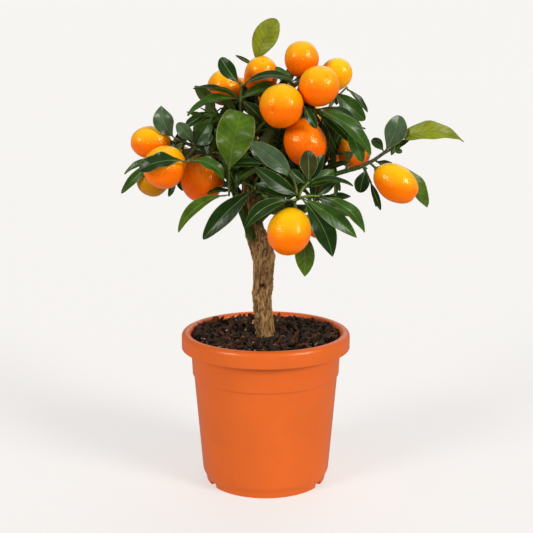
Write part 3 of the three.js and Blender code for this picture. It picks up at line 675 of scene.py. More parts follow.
def tube(line, radii, sides, steps, relief=None):
    """Points, triangles and marks of a tapered tube along a line, closed at both ends. The marks are how far
    the relief stands out at a point, and its share of the length."""
    shares = np.linspace(0, 1, steps + 1)
    centres, ways = line.at(shares), line.way(shares)
    first = UP if abs(ways[0][2]) < 0.8 else RIGHT
    rings, marks = [], []
    for share, centre, way, radius in zip(shares, centres, ways, tapered(radii, shares)):
        first = across(first, way)
        outward = spokes(way, round_turns(sides), first)
        stand = np.array([relief(centre + out * radius) for out in outward]) if relief else np.zeros(sides)
        rings.append(centre + outward * (radius + stand)[:, None])
        marks.append(np.stack([stand, np.full(sides, share)], axis=-1))
    points = np.vstack([*rings, centres[0], centres[-1]])
    return points, ring_faces(len(shares), sides), np.vstack([*marks, [0, 0], [0, 1]])


# How a leaf's blade is divided, and how its surface moves. Columns run across it, from edge to edge.
BLADE = dict(
    shown=dict(stations=19, columns=(-1, -0.94, -0.62, -0.3, 0, 0.3, 0.62, 0.94, 1)),
    hidden=dict(stations=9, columns=(-1, -0.5, 0, 0.5, 1)),
    near_tip=0.985, petiole_taper=0.75, rib_half=0.42, rib_taper=0.6, rib_columns=0.2, rib_raised=0.3,
    rib_deep=1.7, petiole_thick=1.2, cupped=1.25, wave=0.045, waves=(1.6, 2.6), side_shift=2.0, droop=0.05,
    twist=14, twist_from=0.3, sway=0.05,
)
# Where an outline is widest, and how blunt it is at the foot and at the tip: 1 runs to a point, 0.5 is round.
OUTLINES = dict(
    plain=(0.52, 1.05, 0.62),
    club=(0.58, 0.75, 0.5),
    square=(0.64, 0.72, 0.16),
    broad=(0.6, 1.0, 0.5),
    lance=(0.36, 0.7, 1.3),
    drop=(0.55, 1.0, 0.85),
)
BROAD_SHARE = 0.45
SLIMMER = 0.9


def blade_outline(leaf, detail):
    """Stations along a leaf, its half width at each, and how far across it each column of points lies."""
    kind, petiole = BLADE[detail], LEAF["petiole"]
    outline = leaf.get("outline", "broad" if leaf["width_share"] > BROAD_SHARE else "plain")
    widest, foot_blunt, tip_blunt = OUTLINES[outline]
    share = np.sort(np.append(np.linspace(0, 1, kind["stations"]), [petiole, BLADE["near_tip"]]))
    grown = np.clip((share - petiole) / (1 - petiole), 0, 1)
    blunt = foot_blunt + (tip_blunt - foot_blunt) * grown
    swell = np.abs(np.sin(math.pi * grown ** (math.log(0.5) / math.log(widest)))) ** blunt
    half = leaf["length"] * leaf["width_share"] * SLIMMER / 2 * swell
    half = np.maximum(half, LEAF["petiole_half"] * (1 - BLADE["petiole_taper"] * grown))
    rib_share = np.minimum(BLADE["rib_half"] * (1 - BLADE["rib_taper"] * share) / half, BLADE["rib_columns"])
    columns = np.array(kind["columns"], float)
    middle = len(columns) // 2
    spots = np.stack([np.insert(np.delete(columns, middle), middle, (-r, r)) for r in rib_share])
    return share, grown, half, spots, middle


def blade(heap, leaf, look, detail, random):
    """Adds one leaf: an upper and a lower sheet that meet at the edge, with the midrib as its own strip."""
    share, grown, half, spots, middle = blade_outline(leaf, detail)
    length, way, face = leaf["length"], leaf["way"], leaf["face"]
    side = np.cross(way, face)
    twist = (random() - 0.5) * 2 * BLADE["twist"] * RAD * (share - BLADE["twist_from"])
    phase = random() * ROUND
    waves = leaf.get("waves", between(BLADE["waves"], random))
    droop = BLADE["droop"] * (0.3 + random())
    sway = leaf.get("sway", BLADE["sway"] * 2 * (random() - 0.5))
    fold = leaf.get("fold", LEAF["fold"] * (0.7 + 0.8 * random()))
    arc = 4 * share * (1 - share)
    bow = length * (leaf["arch"] * arc - droop * share**3)
    aside = length * sway * arc
    rib = leaf["foot"] + np.outer(share * length, way) + np.outer(bow, face) + np.outer(aside, side)
    along = np.gradient(rib, share, axis=0)
    along /= np.linalg.norm(along, axis=1)[:, None]
    right = side * np.cos(twist)[:, None] + face * np.sin(twist)[:, None]
    normal = np.cross(right, along)
    right = np.cross(along, normal)
    half, share_in = half[:, None], share[:, None]
    wave = leaf.get("wave", BLADE["wave"]) * 2 * half * np.sin(
        ROUND * waves * share_in + phase + (spots > 0) * BLADE["side_shift"]
    )
    lift = (fold * np.abs(spots) ** BLADE["cupped"] * half + wave * spots**2) * (grown > 0)[:, None]
    sheet = rib[:, None] + right[:, None] * (spots * half)[..., None] + normal[:, None] * lift[..., None]
    thick = LEAF["thickness"] * (1 - np.abs(spots) ** 3)
    thick[0] = thick[-1] = 0
    in_rib = np.zeros(spots.shape, bool)
    in_rib[:, middle : middle + 2] = True
    above = thick * np.where(in_rib, BLADE["rib_raised"], 0)
    below = thick * np.where(in_rib, BLADE["rib_deep"], 1)
    below = below * (1 + BLADE["petiole_thick"] * (share_in <= LEAF["petiole"]))
    upper, lower = (sheet - normal[:, None] * depth[..., None] for depth in (above, below))

    # The sheets share their edge points, so the lower one numbers only its inner points anew.
    rows, count = spots.shape
    number = np.arange(rows * count).reshape(rows, count)
    under = number.copy()
    inner = np.ones((rows, count), bool)
    inner[:, 0] = inner[:, -1] = inner[0] = inner[-1] = False
    under[inner] = rows * count + np.arange(inner.sum())
    top_quads = [number[:-1, :-1], number[:-1, 1:], number[1:, 1:], number[1:, :-1]]
    bottom_quads = [under[:-1, :-1], under[1:, :-1], under[1:, 1:], under[:-1, 1:]]
    quads = np.vstack([np.stack(corners, axis=-1).reshape(-1, 4) for corners in (top_quads, bottom_quads)])
    column = np.tile(np.arange(count - 1), rows - 1)
    worn = [heap.looks.index("leaf_" + name) for name in (look, "rib", "under", "edge")]
    top, rib_look, bottom, edge = worn
    upper_look = np.where(column == middle, rib_look, top)
    if detail == "shown":
        upper_look = np.where((column == 0) | (column == count - 2), edge, upper_look)
    looks = np.tile(np.concatenate([upper_look, np.where(column == middle, rib_look, bottom)]), 2)
    edges = np.vstack([np.stack([number[:-1, i], number[1:, i]], axis=-1) for i in (0, -1)])
    marks = np.stack([np.broadcast_to(share_in, spots.shape), spots], axis=-1)
    marks = np.vstack([marks.reshape(-1, 2), marks[inner]])
    heap.add(np.vstack([upper.reshape(-1, 3), lower[inner]]), split(quads), looks, edges, marks)


FRUIT = dict(
    rings=30, segments=40, egg=0.03, lumps=0.5, lump_size=0.09, dimple=0.8, dimple_wide=2.2, scar=0.5,
    stalk_end=0.44,
)
# The cup's rings: radius, height over the fruit, and how deep the five lobes are cut.
CUP = dict(segments=20, rings=((0.4, 2.2, 0), (1.3, 1.7, 0), (3.1, 0.4, 0.28), (3.1, -0.9, 0.28)))


def ball(heap, fruit):
    """Adds one fruit: an egg-like oval about its stalk, dimpled at both ends, with a dark scar at its tip."""
    axis, half_width, half_length = fruit["stalk_way"], fruit["width"] / 2, fruit["length"] / 2
    tip = math.asin(FRUIT["scar"] / half_width)
    angles = np.linspace(0, math.pi, FRUIT["rings"] + 1)[1:-1]
    angles = np.concatenate([[tip], angles, [math.pi - tip]])
    out = np.sin(angles) * half_width * (1 - FRUIT["egg"] * np.cos(angles))
    along = np.cos(angles) * half_length
    along = along - np.sign(along) * FRUIT["dimple"] * np.exp(-((out / FRUIT["dimple_wide"]) ** 2))
    outward = spokes(axis, round_turns(FRUIT["segments"]))
    points = fruit["at"] + np.outer(along, axis)[:, None] + out[:, None, None] * outward
    points = points.reshape(-1, 3)
    for i, place in enumerate(points):
        stand = FRUIT["lumps"] * noise.noise(Vector(place * FRUIT["lump_size"]))
        points[i] = place + unit(place - fruit["at"]) * stand
    pole = axis * (half_length - FRUIT["dimple"])
    faces = ring_faces(len(angles), FRUIT["segments"], flip=True)
    skin = np.full(len(faces), heap.looks.index("fruit_" + fruit["look"]))
    skin[-FRUIT["segments"] :] = heap.looks.index("fruit_scar")
    heap.add(np.vstack([points, fruit["at"] + pole, fruit["at"] - pole]), faces, skin)


def cup(heap, fruit):
    """Adds the small five-lobed green cup where the stalk meets the fruit."""
    axis = fruit["stalk_way"]
    turns = round_turns(CUP["segments"])
    base = fruit["at"] + axis * (fruit["length"] / 2 - FRUIT["dimple"])
    rings = []
    for radius, rise, cut in CUP["rings"]:
        wide = radius * (1 - cut + cut * np.cos(5 * turns))
        rings.append(base + axis * rise + wide[:, None] * spokes(axis, turns))
    count, last = len(turns), (len(rings) - 1) * len(turns)
    lid = np.stack([np.zeros(count - 2, int), np.arange(1, count - 1), np.arange(2, count)], axis=-1)
    faces = np.vstack([grid_faces(len(rings), count, flip=True), lid, last + lid[:, [0, 2, 1]]])
    heap.add(np.vstack(rings), faces, "twig_green")


LOOKS = {}
PLASTIC = (0.66, 0.116, 0.014)
PLASTIC_SHINE = (1, 0.85, 0.65, 1)
# Each look's darker and lighter colour. The bark has a third, the deepest, for its cracks.
MIX_COLOURS = dict(
    soil_dark=((0.004, 0.002, 0.0015), (0.016, 0.009, 0.006)),
    chip_dark=((0.004, 0.0025, 0.0015), (0.066, 0.042, 0.028)),
    chip_red=((0.020, 0.008, 0.004), (0.15, 0.06, 0.026)),
    chip_tan=((0.12, 0.07, 0.04), (0.50, 0.31, 0.17)),
)
# The bark is darker down in its cracks and lighter on its raised plates: partly its own colour, partly
# painted shade in the cracks and painted light on the plates.
BARK_COLOURS = dict(
    bark_trunk=((0.014, 0.007, 0.002), (0.13, 0.066, 0.021), (0.40, 0.235, 0.095)),
    bark_bough=((0.008, 0.014, 0.002), (0.028, 0.050, 0.006), (0.09, 0.135, 0.02)),
)
BARK_STOPS = (0.12, 0.48, 0.95)
# The share of a bough over which the trunk's bark gives way to green.
BARK_TURNS_GREEN = 0.16
TWIG_COLOURS = dict(
    twig_green=((0.035, 0.065, 0.008), (0.11, 0.15, 0.02)),
    twig_bright=((0.09, 0.15, 0.015), (0.22, 0.29, 0.04)),
    twig_brown=((0.022, 0.028, 0.008), (0.08, 0.088, 0.025)),
)
LEAF_COLOURS = dict(
    deep=(0.010, 0.032, 0.003),
    mid=(0.030, 0.080, 0.007),
    grey=(0.050, 0.085, 0.040),
    fresh=(0.058, 0.112, 0.004),
    pale=(0.185, 0.215, 0.005),
    bronze=(0.035, 0.036, 0.008),
    rib=(0.10, 0.16, 0.03),
    edge=(0.14, 0.18, 0.04),
    under=(0.060, 0.095, 0.015),
)
LEAF_ROUGHNESS = dict(under=0.5, rib=0.45, pale=0.42, fresh=0.36)
LEAF_PLAIN_ROUGHNESS = 0.28
VEINED = ("fresh", "pale")
VEINS = dict(pairs=9, slant=-0.17, drift=0.05, relief=0.3, strong=0.35, weak=0.15)
VEIN_TINTS = [(0.0, (0.94, 0.96, 0.94)), (0.8, (1, 1, 1)), (1.0, (1.3, 1.2, 1.1))]
# Each fruit look's colour on the side that faces down and on the side that faces up. The tint differs from
# fruit to fruit; the yellower upward colour is painted light from above.
FRUIT_COLOURS = dict(
    orange=((0.92, 0.15, 0.0), (0.95, 0.47, 0.0)),
    yellow=((0.92, 0.165, 0.0), (0.98, 0.52, 0.001)),
    gold=((0.95, 0.36, 0.0), (0.98, 0.56, 0.002)),
    deep=((0.92, 0.12, 0.0), (0.95, 0.21, 0.0)),
    ochre=((0.50, 0.19, 0.0), (0.60, 0.33, 0.002)),
)
FRUIT_SHINE = (1, 0.8, 0.4, 1)
PORES = dict(apart=1.25, tint=[(0.05, (0.95, 0.93, 0.92)), (0.35, (1, 1, 1))], edge=0.4, share=0.55)
SCAR_COLOURS = ((0.10, 0.035, 0.008), (0.22, 0.09, 0.015))
FLOOR_COLOUR = (0.40, 0.395, 0.388)
FLOOR_GLOW = (0.546, 0.533, 0.519)


def tinted(colour, factor):
    return tuple(min(c * factor, 1) for c in colour)


def look(name, colour, roughness, **sockets):
    """A new material, filed under its name: its nodes and its shader."""
    material = bpy.data.materials.new(name)
    material.use_nodes = True
    shader = material.node_tree.nodes["Principled BSDF"]
    shader.inputs["Base Color"].default_value = (*colour, 1)
    shader.inputs["Roughness"].default_value = roughness
    for socket, value in sockets.items():
        shader.inputs[socket.replace("_", " ")].default_value = value
    LOOKS[name] = material
    return material.node_tree, shader


def node(tree, kind, inputs=(), **settings):
    """A new node. inputs are pairs of a socket and what it takes: a value, or a node and an output's name."""
    made = tree.nodes.new(kind)
    for key, value in settings.items():
        setattr(made, key, value)
    for socket, value in inputs:
        if isinstance(value, tuple) and isinstance(value[0], bpy.types.Node):
            tree.links.new(value[0].outputs[value[1]], made.inputs[socket])
        else:
            made.inputs[socket].default_value = value
    return made


def maths(tree, operation, *values):
    return node(tree, "ShaderNodeMath", enumerate(values), operation=operation), "Value"


def mixed(tree, factor, one, other, kind="MIX"):
    inputs = (("Factor", factor), ("A", one), ("B", other))
    return node(tree, "ShaderNodeMix", inputs, data_type="RGBA", blend_type=kind), "Result"


def object_place(tree):
    return node(tree, "ShaderNodeTexCoord"), "Object"


def axes(tree, source):
    """The parts of a vector, as a node whose outputs are X, Y and Z."""
    return node(tree, "ShaderNodeSeparateXYZ", [("Vector", source)])


def marks(tree):
    """The marks that a piece's points carry: X is the first and Y the second."""
    return axes(tree, (node(tree, "ShaderNodeUVMap", uv_map="place"), "UV"))


def patches(tree, size_mm, detail=4, stretch=(1, 1, 1), roughness=0.55):
    """Noise in the object's own coordinates, whose features are about so many millimetres across."""
    stretched = node(tree, "ShaderNodeMapping", [("Vector", object_place(tree)), ("Scale", stretch)])
    inputs = dict(Vector=(stretched, "Vector"), Scale=1 / (size_mm * MM), Detail=detail, Roughness=roughness)
    return node(tree, "ShaderNodeTexNoise", inputs.items()), "Fac"


def ramp(tree, source, stops):
    """A colour ramp: stops are (place, colour)."""
    made = node(tree, "ShaderNodeValToRGB", [("Fac", source)])
    elements = made.color_ramp.elements
    while len(elements) < len(stops):
        elements.new(0.5)
    for element, (place, colour) in zip(elements, stops):
        element.position = place
        element.color = (*colour, 1)
    return made, "Color"


def paint(tree, shader, colour):
    tree.links.new(colour[0].outputs[colour[1]], shader.inputs["Base Color"])


def bump(tree, shader, height, strength, depth_mm):
    relief = node(
        tree, "ShaderNodeBump", [("Height", height), ("Strength", strength), ("Distance", depth_mm * MM)]
    )
    tree.links.new(relief.outputs["Normal"], shader.inputs["Normal"])


def drifting(tree, low, high, size_mm, detail=4, stretch=(1, 1, 1)):
    """A colour that drifts between two colours."""
    return ramp(tree, patches(tree, size_mm, detail, stretch), [(0.3, low), (0.7, high)])


def make_bark_looks():
    """The cracks are darker and the raised plates lighter, partly the bark's own colour and partly painted
    shade and light: the first mark says how far each point stands out.
    """
    trunk = BARK_COLOURS["bark_trunk"]
    for name, colours in BARK_COLOURS.items():
        tree, shader = look(name, colours[-1], 0.85, Specular_IOR_Level=0.12)
        place = marks(tree)
        limits = (("Value", (place, "X")), ("From Min", -BARK["depth"]), ("From Max", BARK["depth"]))
        stand = (node(tree, "ShaderNodeMapRange", limits), "Result")
        plates = ramp(tree, stand, list(zip(BARK_STOPS, colours)))
        if name == "bark_bough":
            older = ramp(tree, stand, list(zip(BARK_STOPS, trunk)))
            part = ramp(tree, (place, "Y"), [(0.0, (0, 0, 0)), (BARK_TURNS_GREEN, (1, 1, 1))])
            plates = mixed(tree, part, older, plates)
        cracks = patches(tree, 1.9, 8, (1, 1, 0.2), 0.7)
        # The fine cracks are darker in the hollows of the bump and lighter on its ridges: partly the bark's
        # own tone, partly painted shade and painted light.
        crack_tone_and_shade = [(0.36, (0.16, 0.14, 0.12)), (0.47, (0.9, 0.88, 0.86)), (0.66, (1.35, 1.33, 1.3))]
        paint(tree, shader, mixed(tree, 1, plates, ramp(tree, cracks, crack_tone_and_shade), "MULTIPLY"))
        bump(tree, shader, cracks, 1.0, 1.4)


def make_leaf_looks():
    for name, colour in LEAF_COLOURS.items():
        roughness = LEAF_ROUGHNESS.get(name, LEAF_PLAIN_ROUGHNESS)
        tree, shader = look("leaf_" + name, colour, roughness, Specular_IOR_Level=0.26)
        skin = drifting(tree, tinted(colour, 0.72), tinted(colour, 1.3), 9, 3)
        # Side veins run out from the midrib at a slant. Those of the two halves leave it in turn, and none is
        # quite straight.
        place = marks(tree)
        along, aside = (place, "X"), (place, "Y")
        slant = maths(tree, "MULTIPLY_ADD", maths(tree, "ABSOLUTE", aside), VEINS["slant"], along)
        half = maths(tree, "GREATER_THAN", aside, 0)
        shifted = maths(tree, "MULTIPLY_ADD", half, 0.5 / VEINS["pairs"], slant)
        drift = maths(tree, "MULTIPLY_ADD", patches(tree, 5, 1), VEINS["drift"], shifted)
        wave = maths(tree, "SINE", maths(tree, "MULTIPLY", drift, ROUND * VEINS["pairs"]))
        relief = maths(tree, "MULTIPLY_ADD", wave, VEINS["relief"], patches(tree, 1.4, 3))
        bump(tree, shader, relief, VEINS["strong"] if name in VEINED else VEINS["weak"], 0.4)
        if name in VEINED:
            skin = mixed(tree, 1, skin, ramp(tree, wave, VEIN_TINTS), "MULTIPLY")
        paint(tree, shader, skin)


def make_fruit_looks():
    for name, (low, high) in FRUIT_COLOURS.items():
        tree, shader = look("fruit_" + name, high, 0.15, Specular_IOR_Level=0.48, Specular_Tint=FRUIT_SHINE)
        # The side that faces up is painted yellower, as painted light from above, with patches of the skin's
        # own tone.
        facing = axes(tree, (node(tree, "ShaderNodeNewGeometry"), "Normal"))
        painted_top_light = maths(tree, "MULTIPLY_ADD", patches(tree, 14, 3), 0.35, (facing, "Z"))
        skin = ramp(tree, painted_top_light, [(0.0, low), (0.95, high)])
        # Oil pores pit a skin that is itself finely uneven, so that a highlight breaks up into grains.
        inputs = (("Vector", object_place(tree)), ("Scale", 1 / (PORES["apart"] * MM)))
        pores = (node(tree, "ShaderNodeTexVoronoi", inputs, feature="F1"), "Distance")
        paint(tree, shader, mixed(tree, 1, skin, ramp(tree, pores, PORES["tint"]), "MULTIPLY"))
        pits = (node(tree, "ShaderNodeMapRange", (("Value", pores), ("From Max", PORES["edge"]))), "Result")
        uneven = maths(tree, "MULTIPLY_ADD", pits, PORES["share"], patches(tree, 2.2, 1))
        bump(tree, shader, uneven, 1.0, 0.3)
    tree, shader = look("fruit_scar", (0.16, 0.06, 0.012), 0.8)
    paint(tree, shader, drifting(tree, *SCAR_COLOURS, 1))


def make_looks():
    tree, shader = look("pot_plastic", PLASTIC, 0.3, Specular_IOR_Level=0.4, Specular_Tint=PLASTIC_SHINE)
    paint(tree, shader, drifting(tree, tinted(PLASTIC, 0.95), tinted(PLASTIC, 1.05), 40))
    bump(tree, shader, patches(tree, 0.5, 2), 0.12, 0.05)
    for name, (low, high) in MIX_COLOURS.items():
        tree, shader = look(name, high, 0.8, Specular_IOR_Level=0.12)
        paint(tree, shader, drifting(tree, low, high, 3, 6))
        bump(tree, shader, patches(tree, 1.2, 5), 0.7, 0.5)
    make_bark_looks()
    for name, (low, high) in TWIG_COLOURS.items():
        tree, shader = look(name, high, 0.5)
        paint(tree, shader, drifting(tree, low, high, 3, 4, (1, 1, 0.3)))
        bump(tree, shader, patches(tree, 1, 4, (1, 1, 0.3)), 0.3, 0.2)
    make_leaf_looks()
    make_fruit_looks()
    tree, shader = look("floor", FLOOR_COLOUR, 0.9, Specular_IOR_Level=0.1)
    paint(tree, shader, drifting(tree, tinted(FLOOR_COLOUR, 0.997), FLOOR_COLOUR, 900, 2))
    shader.inputs["Emission Color"].default_value = (*FLOOR_GLOW, 1)
    shader.inputs["Emission Strength"].default_value = 1


BARK = dict(
    depth=0.9, trunk=(96, 300), bough=(18, 60), wide=0.5, tall=0.11, bough_scale=1.8, bough_depth=0.22,
    level=-0.55, drift=1.3, plates=((0.9, 1), (0.5, 2.3), (0.3, 4.9)), steepness=3.2,
)
# Swellings and hollows of the trunk: where each shows in the front view, its size and how far it stands out.
KNOTS = [
    (seen(271, 257, -3), 3.0, 2.0),
    (seen(254, 293, -2), 2.2, 1.3),
    (seen(270, 288, -2), 2.6, 1.0),
    (seen(262, 286, -8), 2.2, -1.6),
    (seen(248, 236, -3), 4.0, 1.6),
    (seen(257, 324, -7), 2.4, -1.2),
]


def bark_relief(scale, depth):
    """How far the bark stands out at a point: long broken plates, with finer and finer cracks between."""

    def stand(place):
        spot = Vector((place[0] * BARK["wide"], place[1] * BARK["wide"], place[2] * BARK["tall"])) * scale
        wander = spot * BARK["drift"]
        drift = Vector((noise.noise(wander), noise.noise(wander + Vector((7, 3, 1))), 0)) * 0.5
        total = BARK["level"]
        for share, finer in BARK["plates"]:
            total += share * min(abs(noise.noise(spot * finer + drift)) * BARK["steepness"], 1)
        knots = sum(
            height * math.exp(-((np.linalg.norm(place - at) / size) ** 2)) for at, size, height in KNOTS
        )
        return depth * total + knots

    return stand


def dress_limbs():
    """The trunk and boughs as one piece with the bark's relief."""
    heap = Heap(BARK_COLOURS)
    for name, limb in LIMBS.items():
        kind, relief = "bough", bark_relief(BARK["bough_scale"], BARK["bough_depth"])
        if name == "trunk":
            kind, relief = "trunk", bark_relief(1, BARK["depth"])
        points, faces, point_marks = tube(limb["line"], limb["radii"], *BARK[kind], relief)
        heap.add(points, faces, "bark_" + kind, marks=point_marks)
    heap.piece("bark", "bark", *LIMBS)


def twig_root(mass, place):
    """The place on the stem that a twig leaves from, a little nearer the root than the nearest one."""
    distances = np.linalg.norm(mass["stem_points"] - place, axis=1)
    nearest = int(distances.argmin())
    lag = round(TWIG["lag"] * distances[nearest] / mass["stem_spacing"])
    return mass["stem_points"][max(nearest - lag, 0)]


def add_twig(start, end, radii, look_name="twig_green", bow=0):
    """Adds a twig, bowed where it is long, and returns the point that its last part starts from."""
    points = [start, end]
    if np.linalg.norm(end - start) >= TWIG["straight"]:
        points.insert(1, (start + end) / 2 + bow)
    skin, faces, _ = tube(Line(points), radii, TWIG["sides"], TWIG["steps"] * (len(points) - 1))
    WOOD.add(skin, faces, look_name)
    return points[-2]


def mass_random(mass, factor):
    return seeded(round(float(np.linalg.norm(mass["stem"][0])) * factor))


def grow_wood(mass):
    """The mass's stem, its twigs and its fruit on their stalks."""
    random = mass_random(mass, 13)

    def twig_to(place, radii):
        root = twig_root(mass, place)
        bow = np.array([random() - 0.5, random() - 0.5, random()]) * TWIG["bow"]
        return add_twig(root, place, radii, mass.get("twigs", "twig_green"), bow)

    limb = LIMBS[mass["limb"]]
    start = limb["line"].at(mass.get("along", 1))[0]
    stem = Line([start, (start + mass["stem"][0]) / 2, *mass["stem"]])
    points, faces, _ = tube(stem, (TWIG["root"], TWIG["tip"]), TWIG["stem_sides"], TWIG["stem_steps"])
    WOOD.add(points, faces, "twig_brown")
    spaced = stem.at(np.linspace(0, 1, TWIG["stem_steps"] + 1))
    clear = (max(limb["radii"][-4:]) if mass["limb"] == "trunk" else limb["radii"][-1]) + 1
    mass["stem_points"] = spaced[np.linalg.norm(spaced - start, axis=1) > clear]
    mass["stem_spacing"] = stem.length / TWIG["stem_steps"]
    for tuft in mass["sprays"]:
        tuft["heel"] = twig_to(tuft["at"], (TWIG["tip"], TWIG["side"]))
    for fruit in mass["fruit"]:
        tip = fruit["at"] + fruit["stalk_way"] * fruit["length"] * FRUIT["stalk_end"]
        twig_to(tip, (TWIG["stalk"], TWIG["stalk"]))


def shoot(start, axis, habit, radii, random):
    """Adds a short twig and gives its leaves, or nothing where none of them finds room."""
    end = start + axis * between(habit["length"], random)
    leaves = [leaf for leaf in spiral(end, axis, habit["leaves"], random, habit["leaf"]) if settles(leaf)]
    if leaves:
        add_twig(start, end, radii)
    return leaves


def side_growth(at, heel, away, random):
    """Side twigs that leave a spray's own twig, each with a few small leaves: the finer growth."""
    leaves = []
    for _ in range(SIDE["count"]):
        start = at + (heel - at) * between(SIDE["place"], random)
        turn, angle = random() * ROUND, between(SIDE["open"], random) * RAD
        axis = away * math.cos(angle) + spokes(away, turn) * math.sin(angle)
        leaves += shoot(start, axis, SIDE, (TWIG["side"], TWIG["end"]), random)
    return leaves


def limb_shoots(name, limb):
    """Short leafy shoots along a limb, each a golden turn on from the last, that fill the crown's heart."""
    random = seeded(len(name) * 97 + 5)
    line = limb["line"]
    first, last = SHOOTS["trunk" if name == "trunk" else "bough"]
    count = max(2, round(line.length * (last - first) / SHOOTS["spacing"]))
    grown = []
    for i in range(count):
        share = first + (last - first) * (i + 0.5) / count
        turn, way = i * GOLDEN_TURN * RAD, line.way(share)[0]
        side = across(np.array([math.cos(turn), math.sin(turn), 0.1]), way)
        axis = unit(side + way * SHOOTS["forward"] + UP * SHOOTS["upward"])
        grown += shoot(line.at(share)[0], axis, SHOOTS, (TWIG["tip"], TWIG["side"]), random)
    for leaf in grown:
        blade(HIDDEN, leaf, "deep" if random() < DEEP_SHARE["shoot"] else "mid", "hidden", random)


def grow_leaves(mass):
    """The leaves that the front view shows, then those behind. Their feet stand in a row along the twig."""
    filling, finer = mass_random(mass, 100), mass_random(mass, 7)
    shape = seeded(len(mass["name"]) + len(mass["sprays"]) * 31)
    inside = mass.get("inside")
    plan = []
    for tuft in mass["sprays"]:
        at, heel = tuft["at"], tuft["heel"]
        away = unit(np.array([at[0] / 80, 1, 0.25]))
        rows = tuft["leaves"] if inside else [leaf_from_row(at, row) for row in tuft["leaves"]]
        extra = [] if inside else spiral(at, away, tuft["fill"], filling)
        run = np.linalg.norm(at - heel)
        for i, leaf in enumerate([*rows, *extra]):
            leaf["foot"] = at + (heel - at) * min((1 + i * TWIG["leaf_spacing"]) / run, TWIG["last_foot"])
        plan += [("hidden" if inside else "shown", leaf) for leaf in rows]
        plan += [("hidden", leaf) for leaf in extra]
        if inside or tuft["fill"] > 1:
            outward = unit(at - inside[0]) if inside else away
            plan += [("side", leaf) for leaf in side_growth(at, heel, outward, finer)]
    for kind, leaf in plan:
        if inside and np.linalg.norm((rib_point(leaf, 1) - inside[0]) / inside[1]) > OVAL_EASE:
            continue
        if kind == "shown":
            leaf = next((choice for choice in leanings(leaf) if not meets_fruit(choice)), leaf)
        elif kind == "hidden":
            leaf = next(filter(settles, leanings(leaf)), None)
        if leaf:
            name = leaf.get("look") or ("deep" if shape() < DEEP_SHARE["spray"] else "mid")
            shown = kind == "shown"
            blade(SHOWN if shown else HIDDEN, leaf, name, "shown" if shown else "hidden", shape)


POT = dict(
    height=128, rim_radius=70, mouth_radius=62.8, crest_fillet=3.9, mouth_fillet=3.1, rim_bottom=114.3,
    rim_deep=7, skirt_wall=1.8, shoulder_radius=62.2, step_height=92.4, step_upper=61.2, step_lower=60,
    heel_radius=53.2, heel_height=9, foot_top_radius=51, foot_top=4.9, foot_radius=50.1, foot_wall=4,
    wall=1.8, floor_top=7.2, boss_radius=14, notch_width=9, notch_height=4.2, notch_deep=0.75,
    notch_side=0.15, notch_angles=(-60, 60, 180), drain_radius=4, drain_place=32, drain_height=5,
    drain_sides=48, segments=180, middle=0.01, crease=32,
)
FILLET_STEPS = 5


def rounded(corners):
    """A profile of (radius, height, fillet) corners as (radius, height) points."""
    points = []
    for i, (r, z, fillet) in enumerate(corners):
        here = np.array([r, z], float)
        if not fillet:
            points.append(here)
            continue
        before = unit(np.array(corners[i - 1][:2], float) - here) * fillet
        after = unit(np.array(corners[i + 1][:2], float) - here) * fillet
        for share in np.linspace(0, 1, FILLET_STEPS + 1):
            turn = share * math.pi / 2
            points.append(here + before * (1 - math.sin(turn)) + after * (1 - math.cos(turn)))
    return np.array(points)


def pot_profile():
    """The pot's section from the middle of its underside, out and up over the rim, and back down inside."""
    p = POT
    skirt_inside = p["rim_radius"] - p["skirt_wall"]
    foot_inside = p["foot_radius"] - p["foot_wall"]
    under_rim = p["height"] - p["rim_deep"]
    return rounded([
        (p["middle"], 0, 0),
        (p["boss_radius"], 0, 0.4),
        (p["boss_radius"], p["foot_top"], 0),
        (foot_inside, p["foot_top"], 0),
        (foot_inside, 0, 0.4),
        (p["foot_radius"], 0, 0.5),
        (p["foot_top_radius"], p["foot_top"], 0.4),
        (p["heel_radius"], p["heel_height"], 1.5),
        (p["step_lower"], p["step_height"] - 1, 0.4),
        (p["step_upper"], p["step_height"], 0.5),
        (p["shoulder_radius"], p["rim_bottom"], 0),
        (p["shoulder_radius"], under_rim, 0.5),
        (skirt_inside, under_rim, 0.5),
        (skirt_inside, p["rim_bottom"], 0.5),
        (p["rim_radius"], p["rim_bottom"], 0.7),
        (p["rim_radius"], p["height"], p["crest_fillet"]),
        (p["mouth_radius"], p["height"], p["mouth_fillet"]),
        (p["shoulder_radius"] - p["wall"], p["rim_bottom"], 1),
        (p["step_upper"] - p["wall"], p["step_height"], 0),
        (p["step_lower"] - p["wall"], p["step_height"] - 2, 0),
        (p["heel_radius"] - p["wall"], p["heel_height"] + 1, 1),
        (p["heel_radius"] - p["wall"] - 2, p["floor_top"], 0.5),
        (p["middle"], p["floor_top"], 0),
    ])


